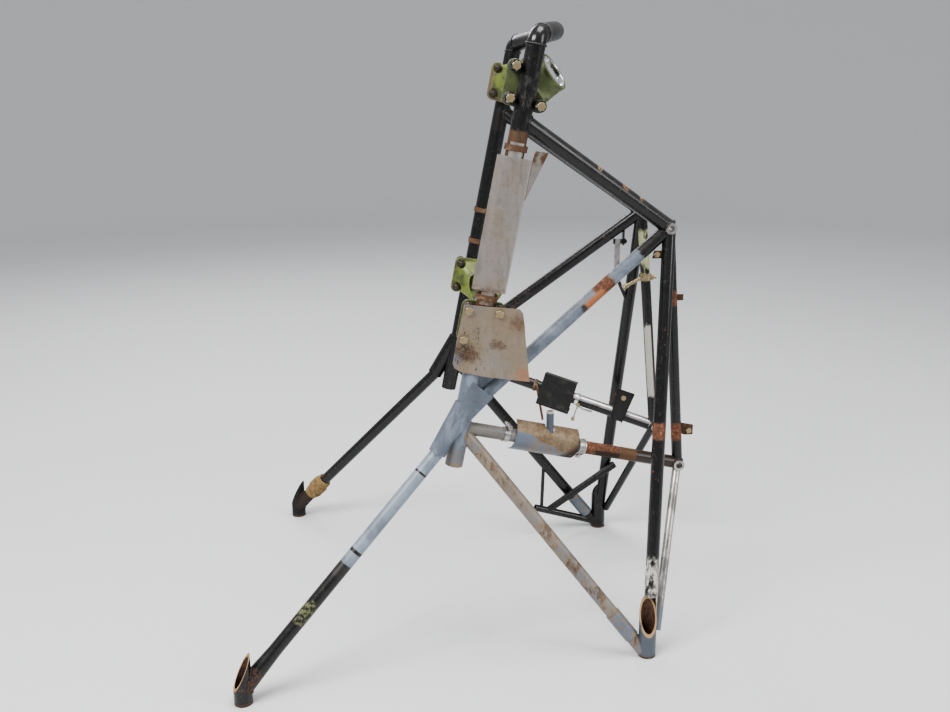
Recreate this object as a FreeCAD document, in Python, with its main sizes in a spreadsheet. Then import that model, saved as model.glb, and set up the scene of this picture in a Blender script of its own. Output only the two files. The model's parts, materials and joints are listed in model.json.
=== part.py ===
import FreeCAD, Part
import math
import os

import Sketcher
from FreeCAD import Placement, Rotation, Vector

# Welded tube mount for a six-cylinder engine, standing on its four wall fittings.
# X points to the belly, Y to the left side of the aircraft and Z forward, away from the wall.
# The right half is modelled and the left half is its mirror image in the plane Y = 0.

doc = FreeCAD.newDocument("engine_mount")
sheet = doc.addObject("Spreadsheet::Sheet", "Sizes")
sheet_rows = []
nodes = []

X_AXIS = Vector(1, 0, 0)
Y_AXIS = Vector(0, 1, 0)
Z_AXIS = Vector(0, 0, 1)
ORIGIN = Vector(0, 0, 0)


def size(alias, value):
    """Keep one driving dimension in the sheet and hand its value back."""
    sheet_rows.append(alias)
    row = len(sheet_rows)
    sheet.set("A%d" % row, alias)
    sheet.set("B%d" % row, str(value))
    sheet.setAlias("B%d" % row, alias)
    return value


def right(x, half, z):
    """Point on the right side, half a spacing away from the middle plane."""
    return Vector(x, -half, z)


# Wall fittings
upper_x = size("upper_fitting_x", -323.5)
upper_half = size("upper_fitting_half_spacing", 310.5)
lower_x = size("lower_fitting_x", 247.5)
lower_half = size("lower_fitting_half_spacing", 224.5)
fitting_od = size("fitting_od", 25.4)
fitting_wall = size("fitting_wall", 2.4)
fitting_base = size("fitting_base_thickness", 6.0)
upper_height = size("upper_fitting_height", 72.0)
upper_low = size("upper_opening_low_edge", 20.0)
lower_height = size("lower_fitting_height", 90.0)
lower_low = size("lower_opening_low_edge", 34.0)
wall_bolt_hole = size("wall_bolt_hole", 9.6)
seat_ring_od = size("seat_ring_od", 16.0)
seat_ring_height = size("seat_ring_height", 4.0)

# Bed rails
rail_half = size("rail_half_spacing", 186.0)
rail_foot_x = size("rail_foot_x", -30.0)
rail_foot_z = size("rail_foot_z", 290.0)
rail_top_x = size("rail_top_x", 85.8)
rail_top_z = size("rail_top_z", 870.7)
rail_od = size("rail_od", 25.4)
rail_wall = size("rail_wall", 2.0)
bow_reach = size("front_bow_reach", 38.0)
bow_rise = size("front_bow_rise", 9.5)
elbow_bend = size("front_bow_elbow_bend", 25.0)

# Truss tubes
weld_gap = size("weld_gap", 0.1)
brace_od = size("brace_od", 19.05)
brace_wall = size("brace_wall", 1.5)
size("top_diagonal_od", 22.2)
front_od = size("gear_front_tube_od", 15.9)
size("gear_rear_tube_od", 12.7)
pivot_inset = size("tube_end_inset_at_pivot", 3.0)
rear_run = size("gear_rear_tube_run", 14.0)
rear_foot_out = size("gear_rear_foot_x_offset", 17.1)
rear_foot_in = size("gear_rear_foot_y_offset", 12.5)
rear_foot_z = size("gear_rear_foot_z", 48.7)
post_offset = size("gear_post_aim_offset", 8.5)
post_foot_z = size("gear_post_foot_z", 42.0)
size("thin_tube_wall", 1.25)
sleeve_wall = size("sleeve_wall", 2.6)
top_joint_drop = size("top_diagonal_below_rail_top", 105.7)
mid_joint_z = size("mid_diagonal_joint_z", 366.0)
lower_joint_z = size("lower_rail_joint_z", 346.0)
diagonal_joint_z = size("lower_diagonal_joint_z", 343.0)
leg_root_z = size("leg_root_z", 20.0)
leg_joint_back = size("leg_joint_behind_rail_foot", 23.4)
leg_joint_out = size("leg_joint_outside_rail", 14.0)
leg_joint_rise = size("leg_joint_above_rail_foot", 23.0)
size("leg_flare_od", 25.0)
size("leg_flare_length", 62.0)

# Nose gear pivots
upper_pivot_x = size("upper_pivot_x", 285.5)
upper_pivot_half = size("upper_pivot_half_spacing", 97.0)
upper_pivot_z = size("upper_pivot_z", 609.0)
lower_pivot_x = size("lower_pivot_x", 314.9)
lower_pivot_half = size("lower_pivot_half_spacing", 86.0)
lower_pivot_z = size("lower_pivot_z", 245.2)
size("pivot_housing_od", 17.0)
pivot_length = size("pivot_housing_length", 26.0)
size("pivot_bush_od", 12.0)
size("pivot_bush_bore", 9.5)
bush_flange = size("pivot_bush_flange", 1.2)
fit_gap = size("fit_gap", 0.05)

# Isolator brackets and their bolts
front_drop = size("front_bracket_below_rail_top", 63.1)
aft_station = size("aft_bracket_station", 205.5)
bolt_reach = size("bracket_bolt_reach", 20.7)
bolt_rise = size("bracket_bolt_rise", 20.4)
third_drop = size("bracket_third_bolt_drop", 3.0)
boss_od = size("boss_od", 14.0)
boss_half = size("boss_half_length", 13.6)
bolt_hole = size("bracket_bolt_hole", 6.6)
size("bracket_bolt_od", 6.35)
bolt_head = size("bracket_bolt_head", 11.1)
bolt_head_height = size("bracket_bolt_head_height", 4.5)
washer_od = size("washer_od", 12.7)
washer_thickness = size("washer_thickness", 1.2)
nut_height = size("nut_height", 5.5)
lobe_radius = size("bracket_lobe_radius", 9.5)
flange_thickness = size("bracket_flange_thickness", 6.0)
ring_od = size("isolator_ring_od", 54.0)
size("isolator_ring_bore", 43.0)
ring_width = size("isolator_ring_width", 7.0)
ring_x = size("isolator_ring_x", 32.4)
ring_y = size("isolator_ring_y", 46.0)
ring_rise = size("isolator_ring_rise", 21.8)
ring_tilt = size("isolator_ring_tilt", 62.0)
ring_pitch = size("isolator_ring_pitch", 42.0)
pad_clearance = size("pad_clearance", 1.5)
neck_share = size("bracket_neck_share", 0.88)
neck_radius = size("bracket_neck_corner_radius", 7.0)
neck_wall = size("bracket_neck_wall", 4.5)
pocket_depth = size("bracket_nut_pocket_depth", 11.0)
size("bracket_nut_pocket_od", 16.0)

# Sheet metal
sheet_thickness = size("shield_thickness", 1.0)
gusset_thickness = size("gusset_thickness", 2.0)

rail_foot = right(rail_foot_x, rail_half, rail_foot_z)
rail_top = right(rail_top_x, rail_half, rail_top_z)
front_station = rail_foot.distanceToPoint(rail_top) - front_drop
rail_dir = (rail_top - rail_foot).normalize()
rail_out = Y_AXIS.cross(rail_dir)
rail_radius = rail_od / 2
brace_radius = brace_od / 2


def on_rail(z):
    """Point on the axis of the right rail at a height."""
    return rail_foot + rail_dir * ((z - rail_foot_z) / rail_dir.z)


def rail_frame(station, x=0.0, y=0.0):
    """Frame on the right rail: x to the belly, y inward and z along the rail."""
    place = rail_foot + rail_dir * station + rail_out * x + Y_AXIS * y
    return Placement(place, Rotation(rail_out, Y_AXIS, rail_dir, "ZXY"))


upper_fitting = right(upper_x, upper_half, 0)
lower_fitting = right(lower_x, lower_half, 0)
upper_pivot = right(upper_pivot_x, upper_pivot_half, upper_pivot_z)
lower_pivot = right(lower_pivot_x, lower_pivot_half, lower_pivot_z)


# Building blocks

def node(obj, label):
    """Give a finished sub-part its name."""
    obj.Label = label
    nodes.append(obj)
    return obj


def rod(name, start, end, diameter, before=0.0, beyond=0.0):
    """Solid round bar between two points, run on past either end; diameter is a sheet expression."""
    along = (end - start).normalize()
    bar = doc.addObject("Part::Cylinder", name)
    bar.setExpression("Radius", "(%s) / 2" % diameter)
    bar.Height = start.distanceToPoint(end) + before + beyond
    bar.Placement = Placement(start - along * before, Rotation(Z_AXIS, along))
    return bar


def union(name, parts):
    fused = doc.addObject("Part::MultiFuse", name)
    fused.Shapes = parts
    return fused


def cut(name, base, tools):
    """Base less all the tools."""
    result = doc.addObject("Part::Cut", name)
    result.Base = base
    if len(tools) == 1:
        result.Tool = tools[0]
    else:
        result.Tool = union(name + "_tools", tools)
    return result


def carved(name, base, tools):
    """Base less one tool after another."""
    for i, tool in enumerate(tools):
        base = cut(name if i == len(tools) - 1 else "%s_step_%d" % (name, i), base, [tool])
    return base


def group(label, parts):
    """Separate solids that share one node."""
    together = doc.addObject("Part::Compound", label + "_set")
    together.Links = parts
    return node(together, label)


def mirrored(label, source, keep=True):
    """The same piece on the left side."""
    twin = doc.addObject("Part::Mirroring", label + "_twin")
    twin.Source = source
    twin.Normal = Y_AXIS
    twin.Base = ORIGIN
    return node(twin, label) if keep else twin


def beyond_plane(name, point, normal, reach=90.0):
    """Block that fills the space on the far side of a plane, near a point."""
    block = doc.addObject("Part::Box", name)
    block.Length = 2 * reach
    block.Width = 2 * reach
    block.Height = reach
    turn = Rotation(Z_AXIS, normal)
    corner = point - turn.multVec(Vector(reach, reach, 0))
    block.Placement = Placement(corner, turn)
    return block


def envelope(name, start, end, diameter, before=0.0, beyond=0.0):
    """Outside of a tube with the gap of its weld, used to cope the tubes that meet it."""
    return rod(name + "_cope", start, end, "%s + 2 * Sizes.weld_gap" % diameter, before, beyond)


def tube(name, start, end, diameter, wall, tools, before=0.0, beyond=0.0):
    """Hollow tube with its ends coped by the tools."""
    outer = rod(name + "_outer", start, end, diameter, before, beyond)
    inner = rod(name + "_bore", start, end, "%s - 2 * %s" % (diameter, wall), before + 1, beyond + 1)
    return cut(name, outer, [inner] + tools)


def both_sides(name, piece):
    """Name the right piece and add its left twin."""
    node(piece, name + "_right")
    mirrored(name + "_left", piece)


def origin_plane(body, role):
    for feature in body.Origin.OriginFeatures:
        if feature.Role == role:
            return feature


def flat_sketch(body, name, role="XY_Plane"):
    sketch = body.newObject("Sketcher::SketchObject", name)
    sketch.AttachmentSupport = [(origin_plane(body, role), "")]
    sketch.MapMode = "FlatFace"
    return sketch


def add_polygon(sketch, points):
    for here, there in zip(points, points[1:] + points[:1]):
        sketch.addGeometry(Part.LineSegment(Vector(*here, 0), Vector(*there, 0)), False)


def add_rounded(sketch, centres, radius):
    """Outline of discs at the centres, given anticlockwise, joined by their outer tangents."""
    count = len(centres)
    points = [Vector(x, y, 0) for x, y in centres]
    normals = []
    for i in range(count):
        along = (points[(i + 1) % count] - points[i]).normalize()
        normals.append(Vector(along.y, -along.x, 0))
    for i in range(count):
        there = points[(i + 1) % count]
        line = Part.LineSegment(points[i] + normals[i] * radius, there + normals[i] * radius)
        sketch.addGeometry(line, False)
        start = math.atan2(normals[i].y, normals[i].x)
        following = normals[(i + 1) % count]
        end = math.atan2(following.y, following.x)
        if end < start:
            end += 2 * math.pi
        circle = Part.Circle(there, Z_AXIS, radius)
        sketch.addGeometry(Part.ArcOfCircle(circle, start, end), False)


def add_holes(sketch, centres, expression, diameter):
    """Round holes whose radius follows the sheet."""
    for x, y in centres:
        index = sketch.addGeometry(Part.Circle(Vector(x, y, 0), Z_AXIS, diameter / 2), False)
        rule = sketch.addConstraint(Sketcher.Constraint("Radius", index, diameter / 2))
        sketch.setExpression("Constraints[%d]" % rule, "(%s) / 2" % expression)


def pad(body, name, sketch, expression):
    extrusion = body.newObject("PartDesign::Pad", name)
    extrusion.Profile = sketch
    extrusion.setExpression("Length", expression)
    body.Tip = extrusion
    return extrusion


def plate(name, placement, expression, points=None, centres=None, radius=0.0, holes=None):
    """Flat plate in the XY plane of its placement, with a polygon or a rounded outline."""
    body = doc.addObject("PartDesign::Body", name)
    sketch = flat_sketch(body, name + "_outline")
    if points:
        add_polygon(sketch, points)
    else:
        add_rounded(sketch, centres, radius)
    if holes:
        add_holes(sketch, *holes)
    pad(body, name + "_pad", sketch, expression)
    body.Placement = placement
    return body


def ring(name, start, end, outside, inside):
    """Collar between two points."""
    outer = rod(name + "_outer", start, end, outside)
    inner = rod(name + "_inner", start, end, inside, 1, 1)
    return cut(name, outer, [inner])


# Bed rails and the bow that joins their forward ends

def bow_frame():
    """Centre, radius, middle direction and half angle of the bow's arc."""
    reach = Vector(bow_reach, 0, bow_rise)
    sagitta = reach.Length
    radius = (rail_half ** 2 + sagitta ** 2) / (2 * sagitta)
    middle = Vector(rail_top_x, 0, rail_top_z) + reach
    outward = Vector(reach).normalize()
    return middle - outward * radius, radius, outward, math.asin(rail_half / radius)


bow_centre, bow_radius, bow_out, bow_half = bow_frame()
bow_tangent = Vector(bow_out) * math.sin(bow_half) + Y_AXIS * math.cos(bow_half)
elbow_angle = rail_dir.getAngle(bow_tangent)
elbow_setback = elbow_bend * math.tan(elbow_angle / 2)
rail_end = rail_top - rail_dir * elbow_setback


def bent_tube(name, centre, first, tangent, radius, angle):
    """Bent piece of rail tube; first runs from the bend's centre to the tube's start."""
    turn = Rotation(first, tangent, first.cross(tangent), "ZXY")
    tori = []
    for part, inset in (("_outer", "0"), ("_bore", "Sizes.rail_wall")):
        torus = doc.addObject("Part::Torus", name + part)
        torus.Radius1 = radius
        torus.setExpression("Radius2", "Sizes.rail_od / 2 - %s" % inset)
        torus.Angle1 = -180
        torus.Angle2 = 180
        torus.Angle3 = math.degrees(angle)
        torus.Placement = Placement(centre, turn)
        tori.append(torus)
    return cut(name, tori[0], [tori[1]])


def make_bow():
    inward = (bow_tangent - rail_dir * math.cos(elbow_angle)).normalize()
    elbow = bent_tube("elbow", rail_end + inward * elbow_bend, inward * -1, rail_dir, elbow_bend, elbow_angle)
    start = rail_top + bow_tangent * elbow_setback
    to_centre = Y_AXIS * math.sin(bow_half) - Vector(bow_out) * math.cos(bow_half)
    radius = abs(start.y) / math.sin(bow_half)
    arc = bent_tube("arc", start + to_centre * radius, to_centre * -1, bow_tangent, radius, 2 * bow_half)
    return union("bow", [elbow, arc, mirrored("elbow_left", elbow, False)])


both_sides("bed_rail", tube("rail", rail_foot, rail_end, "Sizes.rail_od", "Sizes.rail_wall", [], 0, -weld_gap))
node(make_bow(), "front_bow")
rail_cope = envelope("rail", rail_foot, rail_top, "Sizes.rail_od", 5, 0)


# Wall fittings: short tubes with a base for the wall bolt, cut slantwise to let a spanner in

def make_fitting(name, foot, height_alias, height, low, facing):
    lift = Vector(0, 0, fitting_base)
    outer = rod(name + "_outer", foot, foot + Z_AXIS * height, "Sizes.fitting_od")
    outer.setExpression("Height", height_alias)
    inner = rod(name + "_inner", foot + lift, foot + Z_AXIS * (height + 1),
                "Sizes.fitting_od - 2 * Sizes.fitting_wall")
    hole = rod(name + "_hole", foot, foot + lift, "Sizes.wall_bolt_hole", 1, 1)
    slope = (Z_AXIS * fitting_od + facing * (height - low)).normalize()
    middle = foot + Z_AXIS * ((height + low) / 2)
    opening = beyond_plane(name + "_opening", middle, slope)
    return cut(name, outer, [inner, hole, opening])


def make_seat_ring(name, foot):
    top = foot + Z_AXIS * (fitting_base + seat_ring_height)
    return ring(name, foot + Z_AXIS * fitting_base, top, "Sizes.seat_ring_od", "Sizes.wall_bolt_hole")


leg_joint = right(rail_foot_x - leg_joint_back, rail_half + leg_joint_out, rail_foot_z + leg_joint_rise)
leg_root = right(upper_x, upper_half, leg_root_z)
leg_plan = Vector(leg_joint.x - leg_root.x, leg_joint.y - leg_root.y, 0).normalize()

upper_piece = make_fitting("upper_fitting_body", upper_fitting, "Sizes.upper_fitting_height",
                           upper_height, upper_low, leg_plan * -1)
lower_piece = make_fitting("lower_fitting_body", lower_fitting, "Sizes.lower_fitting_height",
                           lower_height, lower_low, Y_AXIS * -1)
both_sides("upper_fitting", upper_piece)
both_sides("lower_fitting", lower_piece)
upper_cope = envelope("upper_fitting", upper_fitting, upper_fitting + Z_AXIS * upper_height,
                      "Sizes.fitting_od", 12)
lower_cope = envelope("lower_fitting", lower_fitting, lower_fitting + Z_AXIS * lower_height,
                      "Sizes.fitting_od", 12)
seat_rings = [make_seat_ring("upper_seat", upper_fitting), make_seat_ring("lower_seat", lower_fitting)]
seat_rings += [mirrored(piece.Name + "_left", piece, False) for piece in list(seat_rings)]
group("bolt_seat_rings", seat_rings)


# Pivot housings of the nose gear, with pressed bushes

def lateral(point, length):
    """Ends of a part that lies across the aircraft about a point."""
    return point - Y_AXIS * (length / 2), point + Y_AXIS * (length / 2)


def make_housing(name, point):
    start, end = lateral(point, pivot_length)
    return ring(name, start, end, "Sizes.pivot_housing_od", "Sizes.pivot_bush_od + 2 * Sizes.fit_gap")


def make_bush(name, point):
    """Flanged bush; the flange lies against the outer end of the housing."""
    start, end = lateral(point, pivot_length)
    rim = start - Y_AXIS * bush_flange
    barrel = rod(name + "_barrel", rim, end, "Sizes.pivot_bush_od")
    flange = rod(name + "_flange", rim, start, "Sizes.pivot_housing_od - 1")
    bore = rod(name + "_bore", rim, end, "Sizes.pivot_bush_bore", 1, 1)
    return cut(name, union(name + "_solid", [barrel, flange]), [bore])


def pivot_cope(name, point):
    start, end = lateral(point, pivot_length)
    return envelope(name, start, end, "Sizes.pivot_housing_od", 3, 3)


both_sides("upper_pivot_housing", make_housing("upper_housing", upper_pivot))
both_sides("lower_pivot_housing", make_housing("lower_housing", lower_pivot))
bushes = [make_bush("upper_bush", upper_pivot), make_bush("lower_bush", lower_pivot)]
bushes += [mirrored(piece.Name + "_left", piece, False) for piece in list(bushes)]
group("pivot_bushes", bushes)
upper_pivot_cope = pivot_cope("upper_pivot", upper_pivot)
lower_pivot_cope = pivot_cope("lower_pivot", lower_pivot)


# Truss tubes of the right side, each coped by those before it

top_joint = on_rail(rail_top_z - top_joint_drop)
mid_joint = on_rail(mid_joint_z)
lower_joint = on_rail(lower_joint_z)
diagonal_joint = on_rail(diagonal_joint_z)
post_aim = lower_fitting + Vector(0, -post_offset, 0)
post_foot = post_aim + (upper_pivot - post_aim) * (post_foot_z / upper_pivot_z)
rear_foot = right(lower_x + rear_foot_out, lower_half - rear_foot_in, rear_foot_z)
diagonal_foot = Vector(lower_fitting)

top_cope = envelope("top_diagonal", top_joint, upper_pivot, "Sizes.top_diagonal_od")
mid_cope = envelope("mid_diagonal", mid_joint, upper_pivot, "Sizes.brace_od")
post_cope = envelope("gear_post", post_foot, upper_pivot, "Sizes.brace_od")
front_cope = envelope("gear_front", lower_pivot, upper_pivot, "Sizes.gear_front_tube_od")
lower_rail_cope = envelope("lower_rail", lower_joint, lower_pivot, "Sizes.brace_od")

top_diagonal = tube("top_diagonal_tube", top_joint, upper_pivot, "Sizes.top_diagonal_od",
                    "Sizes.brace_wall", [rail_cope, upper_pivot_cope])
both_sides("top_diagonal", top_diagonal)

mid_diagonal = tube("mid_diagonal_tube", mid_joint, upper_pivot, "Sizes.brace_od",
                    "Sizes.brace_wall", [rail_cope, top_cope, upper_pivot_cope])
both_sides("mid_diagonal", mid_diagonal)

gear_post = tube("gear_post_tube", post_foot, upper_pivot, "Sizes.brace_od", "Sizes.brace_wall",
                 [lower_cope, top_cope, mid_cope, upper_pivot_cope])
both_sides("gear_post", gear_post)

gear_front = tube("gear_front_piece", lower_pivot, upper_pivot, "Sizes.gear_front_tube_od",
                  "Sizes.thin_tube_wall",
                  [top_cope, mid_cope, post_cope, upper_pivot_cope, lower_pivot_cope],
                  -pivot_inset, -pivot_inset)
both_sides("gear_front_tube", gear_front)

lower_rail = tube("lower_rail_tube", lower_joint, lower_pivot, "Sizes.brace_od", "Sizes.brace_wall",
                  [rail_cope, front_cope, lower_pivot_cope])
both_sides("lower_rail", lower_rail)

gear_rear = tube("gear_rear_piece", rear_foot, lower_pivot, "Sizes.gear_rear_tube_od",
                 "Sizes.thin_tube_wall",
                 [lower_cope, post_cope, front_cope, lower_rail_cope, lower_pivot_cope], rear_run)
both_sides("gear_rear_tube", gear_rear)

lower_diagonal = tube("lower_diagonal_tube", diagonal_foot, diagonal_joint, "Sizes.brace_od",
                      "Sizes.brace_wall", [lower_cope, rail_cope, lower_rail_cope])
both_sides("lower_diagonal", lower_diagonal)


# Repair sleeves over the lower diagonals

repair_length = size("repair_sleeve_length", 46.0)
repair_offset = size("repair_sleeve_offset", 37.0)
size("repair_sleeve_od", 22.0)


def make_repair_sleeve():
    along = (diagonal_joint - diagonal_foot).normalize()
    start = diagonal_foot + along * repair_offset
    return ring("repair_sleeve", start, start + along * repair_length, "Sizes.repair_sleeve_od",
                "Sizes.brace_od + 2 * Sizes.fit_gap")


repair_sleeve = make_repair_sleeve()
group("diagonal_sleeves", [repair_sleeve, mirrored("repair_sleeve_left", repair_sleeve, False)])


# Upper legs: a straight tube flared on to its fitting, and a heavier sleeve up to the rail

sleeve_top_z = size("leg_sleeve_top_z", 380.5)
sleeve_offset = size("leg_sleeve_offset", 3.0)


def make_sleeve():
    top = on_rail(sleeve_top_z) + Vector(-sleeve_offset, -sleeve_offset, 0)
    return tube("leg_sleeve_tube", leg_joint, top, "Sizes.rail_od", "Sizes.sleeve_wall", [rail_cope])


def make_leg():
    along = (leg_joint - leg_root).normalize()
    sleeve_dir = (on_rail(sleeve_top_z) - leg_joint).normalize()
    start = leg_root + along * 6
    outer = rod("leg_outer", leg_root, leg_joint, "Sizes.brace_od", 0, 15)
    flare = doc.addObject("Part::Cone", "leg_flare")
    flare.setExpression("Radius1", "Sizes.leg_flare_od / 2")
    flare.setExpression("Radius2", "Sizes.brace_od / 2")
    flare.setExpression("Height", "Sizes.leg_flare_length")
    flare.Placement = Placement(start, Rotation(Z_AXIS, along))
    bore = rod("leg_bore", leg_root, leg_joint, "Sizes.brace_od - 2 * Sizes.brace_wall", 1, 16)
    trim = beyond_plane("leg_trim", leg_joint - sleeve_dir * weld_gap, sleeve_dir)
    return cut("leg", union("leg_solid", [outer, flare]), [bore, upper_cope, trim])


both_sides("upper_leg", make_leg())
sleeve = make_sleeve()
both_sides("leg_sleeve", sleeve)


# Gusset between the rail, the leg sleeve and the mid diagonal

gusset_top = size("gusset_top", 50.0)
gusset_reach = size("gusset_reach", 33.0)
gusset_reach_height = size("gusset_reach_height", 30.0)
gusset_tail = size("gusset_tail", 58.0)


def make_gusset():
    span = (upper_pivot - mid_joint).normalize()
    normal = span.cross(rail_dir).normalize()
    side = rail_dir.cross(normal)
    place = mid_joint + normal * (rail_radius + weld_gap)
    frame = Placement(place, Rotation(side, rail_dir, normal, "ZXY"))
    outline = [(-28, -gusset_tail), (6, -5), (gusset_reach, gusset_reach_height), (-1, gusset_top),
               (-14, 24)]
    web = plate("gusset_plate", frame, "Sizes.gusset_thickness", points=outline)
    sleeve_dir = (on_rail(sleeve_top_z) - leg_joint).normalize()
    top = on_rail(sleeve_top_z) + Vector(-sleeve_offset, -sleeve_offset, 0)
    clearance = envelope("gusset_sleeve", leg_joint, top, "Sizes.rail_od", 20, 0)
    return cut("gusset_web", web, [clearance])


both_sides("gusset", make_gusset())


# Isolator brackets: a three-lobed flange and a hollow neck that leans over to the isolator's ring

def bracket_bolts(up):
    """Bolt places in the rail's frame, two on the engine side and one on the belly side."""
    return [(-bolt_reach, bolt_rise * up), (-bolt_reach, -bolt_rise * up),
            (bolt_reach, -(bolt_rise + third_drop) * up)]


def loose_circle(name, placement, expression):
    """Circle that a loft runs to."""
    circle = doc.addObject("Part::Circle", name)
    circle.setExpression("Radius", expression)
    circle.Placement = placement
    return circle


def neck(name, low_place, centres, radius, ring_place, expression):
    """Loft from a lobed outline to the ring's circle."""
    outline = doc.addObject("Sketcher::SketchObject", name + "_outline")
    add_rounded(outline, centres, radius)
    outline.Placement = low_place
    loft = doc.addObject("Part::Loft", name)
    loft.Sections = [outline, loose_circle(name + "_circle", ring_place, expression)]
    loft.Solid = True
    loft.Ruled = False
    return loft


def make_bracket(name, station, up):
    frame = rail_frame(station)
    flat = Rotation(X_AXIS, Z_AXIS, Y_AXIS * -1, "ZXY")
    back = boss_half + flange_thickness

    def local(x, y, z, turn=None):
        return frame.multiply(Placement(Vector(x, y, z), turn or Rotation()))

    centres = bracket_bolts(up)
    if up < 0:
        centres.reverse()
    holes = (centres, "Sizes.bracket_bolt_hole", bolt_hole)
    flange = plate(name + "_flange", local(0, back, 0, flat), "Sizes.bracket_flange_thickness",
                   centres=centres, radius=lobe_radius, holes=holes)

    tilt = math.radians(ring_tilt)
    pitch = math.radians(ring_pitch)
    axis = Vector(-math.cos(pitch) * math.sin(tilt), math.cos(pitch) * math.cos(tilt), -math.sin(pitch) * up)
    centre = Vector(ring_x, ring_y, ring_rise * up)
    seat = axis * (ring_width / 2)
    start = frame.multVec(centre - seat)
    end = frame.multVec(centre + seat)
    barrel = rod(name + "_barrel", start, end, "Sizes.isolator_ring_od")
    bore = rod(name + "_bore", start, end, "Sizes.isolator_ring_bore", 2, 2)

    turn = Rotation(Z_AXIS, axis)
    middle = (sum(x for x, z in centres) / 3, sum(z for x, z in centres) / 3)
    corners = [(middle[0] + (x - middle[0]) * neck_share, middle[1] + (z - middle[1]) * neck_share)
               for x, z in centres]
    outside = neck(name + "_neck", local(0, back - 1, 0, flat), corners, neck_radius,
                   local(*centre, turn), "Sizes.isolator_ring_od / 2 - 1")
    inside = neck(name + "_hollow", local(0, back, 0, flat), corners, neck_radius - neck_wall,
                  local(*(centre + seat), turn), "Sizes.isolator_ring_bore / 2")
    pad_room = rod(name + "_pad_room", end, frame.multVec(centre + seat + axis * ring_od),
                   "Sizes.isolator_ring_bore + 2 * Sizes.pad_clearance", 0.5)
    body = union(name + "_solid", [flange, barrel, outside])
    clear = [bore, pad_room, inside]
    for i, (x, z) in enumerate(bracket_bolts(up)):
        front, seat_face, end = [frame.multVec(Vector(x, y, z)) for y in (boss_half, back, back + pocket_depth)]
        clear.append(rod(name + "_hole_%d" % i, front, seat_face, "Sizes.bracket_bolt_hole", 1, 1))
        clear.append(rod(name + "_room_%d" % i, seat_face, end, "Sizes.bracket_nut_pocket_od"))
    return carved(name, body, clear)


both_sides("isolator_bracket_front", make_bracket("front_bracket", front_station, 1))
both_sides("isolator_bracket_aft", make_bracket("aft_bracket", aft_station, -1))


# Bosses, bolts and nuts of the brackets

def hex_prism(name, start, end, across, expression):
    """Hexagon bar between two points, across its flats."""
    prism = doc.addObject("Part::Prism", name)
    prism.Polygon = 6
    prism.setExpression("Circumradius", "(%s) / cos(30 deg) / 2" % expression)
    prism.Height = start.distanceToPoint(end)
    prism.Placement = Placement(start, Rotation(Z_AXIS, end - start))
    return prism


def make_bolt_set(name, station, up, seat):
    """Boss, bolt, washers and nut at each place; seat is what lies under the heads."""
    frame = rail_frame(station)
    bosses, bolts, nuts = [], [], []
    back = boss_half + flange_thickness
    for i, (x, z) in enumerate(bracket_bolts(up)):
        tag = "%s_%d" % (name, i)

        def at(y):
            return frame.multVec(Vector(x, y, z))

        boss = rod(tag + "_boss_outer", at(-boss_half), at(boss_half), "Sizes.boss_od")
        hole = rod(tag + "_boss_hole", at(-boss_half), at(boss_half), "Sizes.bracket_bolt_hole", 1, 1)
        bosses.append(cut(tag + "_boss", boss, [hole, rail_cope]))
        head_face = -boss_half - seat
        shank = rod(tag + "_shank", at(head_face), at(back + washer_thickness + nut_height + 2),
                    "Sizes.bracket_bolt_od")
        head = hex_prism(tag + "_head", at(head_face - bolt_head_height), at(head_face), bolt_head,
                         "Sizes.bracket_bolt_head")
        bolts.append(union(tag + "_bolt", [shank, head]))
        washer = ring(tag + "_washer", at(back), at(back + washer_thickness), "Sizes.washer_od",
                      "Sizes.bracket_bolt_hole")
        nut = hex_prism(tag + "_nut_outer", at(back + washer_thickness),
                        at(back + washer_thickness + nut_height), bolt_head, "Sizes.bracket_bolt_head")
        thread = rod(tag + "_nut_hole", at(back), at(back + washer_thickness + nut_height),
                     "Sizes.bracket_bolt_od + 2 * Sizes.fit_gap", 1, 1)
        nuts += [washer, cut(tag + "_nut", nut, [thread])]
    return bosses, bolts, nuts


front_set = make_bolt_set("front", front_station, 1, 0.0)
aft_set = make_bolt_set("aft", aft_station, -1, sheet_thickness)
aft_left_set = make_bolt_set("aft_left", aft_station, -1, 0.0)
for label, index in (("bracket_bosses", 0), ("bracket_bolts", 1), ("bracket_nuts", 2)):
    pieces = front_set[index] + aft_set[index]
    left = front_set[index] + aft_left_set[index]
    group(label, pieces + [mirrored(piece.Name + "_far", piece, False) for piece in left])


# Heat shields of the right side

plate_y = -boss_half
aft_plate_outline = [(-29.0, 27.5), (46.0, 34.5), (51.5, 30.0), (57.0, 14.0), (63.0, -8.0),
                     (79.5, -63.5), (16.0, -67.0), (-16.4, -66.0), (-26.0, -62.0), (-29.5, -56.0),
                     (-30.0, -17.0)]


def make_aft_plate():
    frame = rail_frame(aft_station)
    place = frame.multiply(Placement(Vector(0, plate_y, 0), Rotation(X_AXIS, Z_AXIS, Y_AXIS * -1, "ZXY")))
    holes = (bracket_bolts(-1), "Sizes.bracket_bolt_hole", bolt_hole)
    return plate("aft_plate", place, "Sizes.shield_thickness", points=aft_plate_outline, holes=holes)


node(make_aft_plate(), "aft_shield_plate")

shield_foot = size("rail_shield_foot_station", 256.0)
shield_length = size("rail_shield_length", 180.5)
shield_half = size("rail_shield_half_width", 23.0)
shield_flat = size("rail_shield_flat_half", 13.0)
shield_fold = size("rail_shield_fold_depth", 3.0)
tongue_half_angle = size("shield_tongue_half_angle", 42.0)
tongue_length = size("shield_tongue_length", 19.0)
band_width = size("band_width", 8.0)
band_thickness = size("band_thickness", 1.6)
shield_head = shield_foot + shield_length


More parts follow.
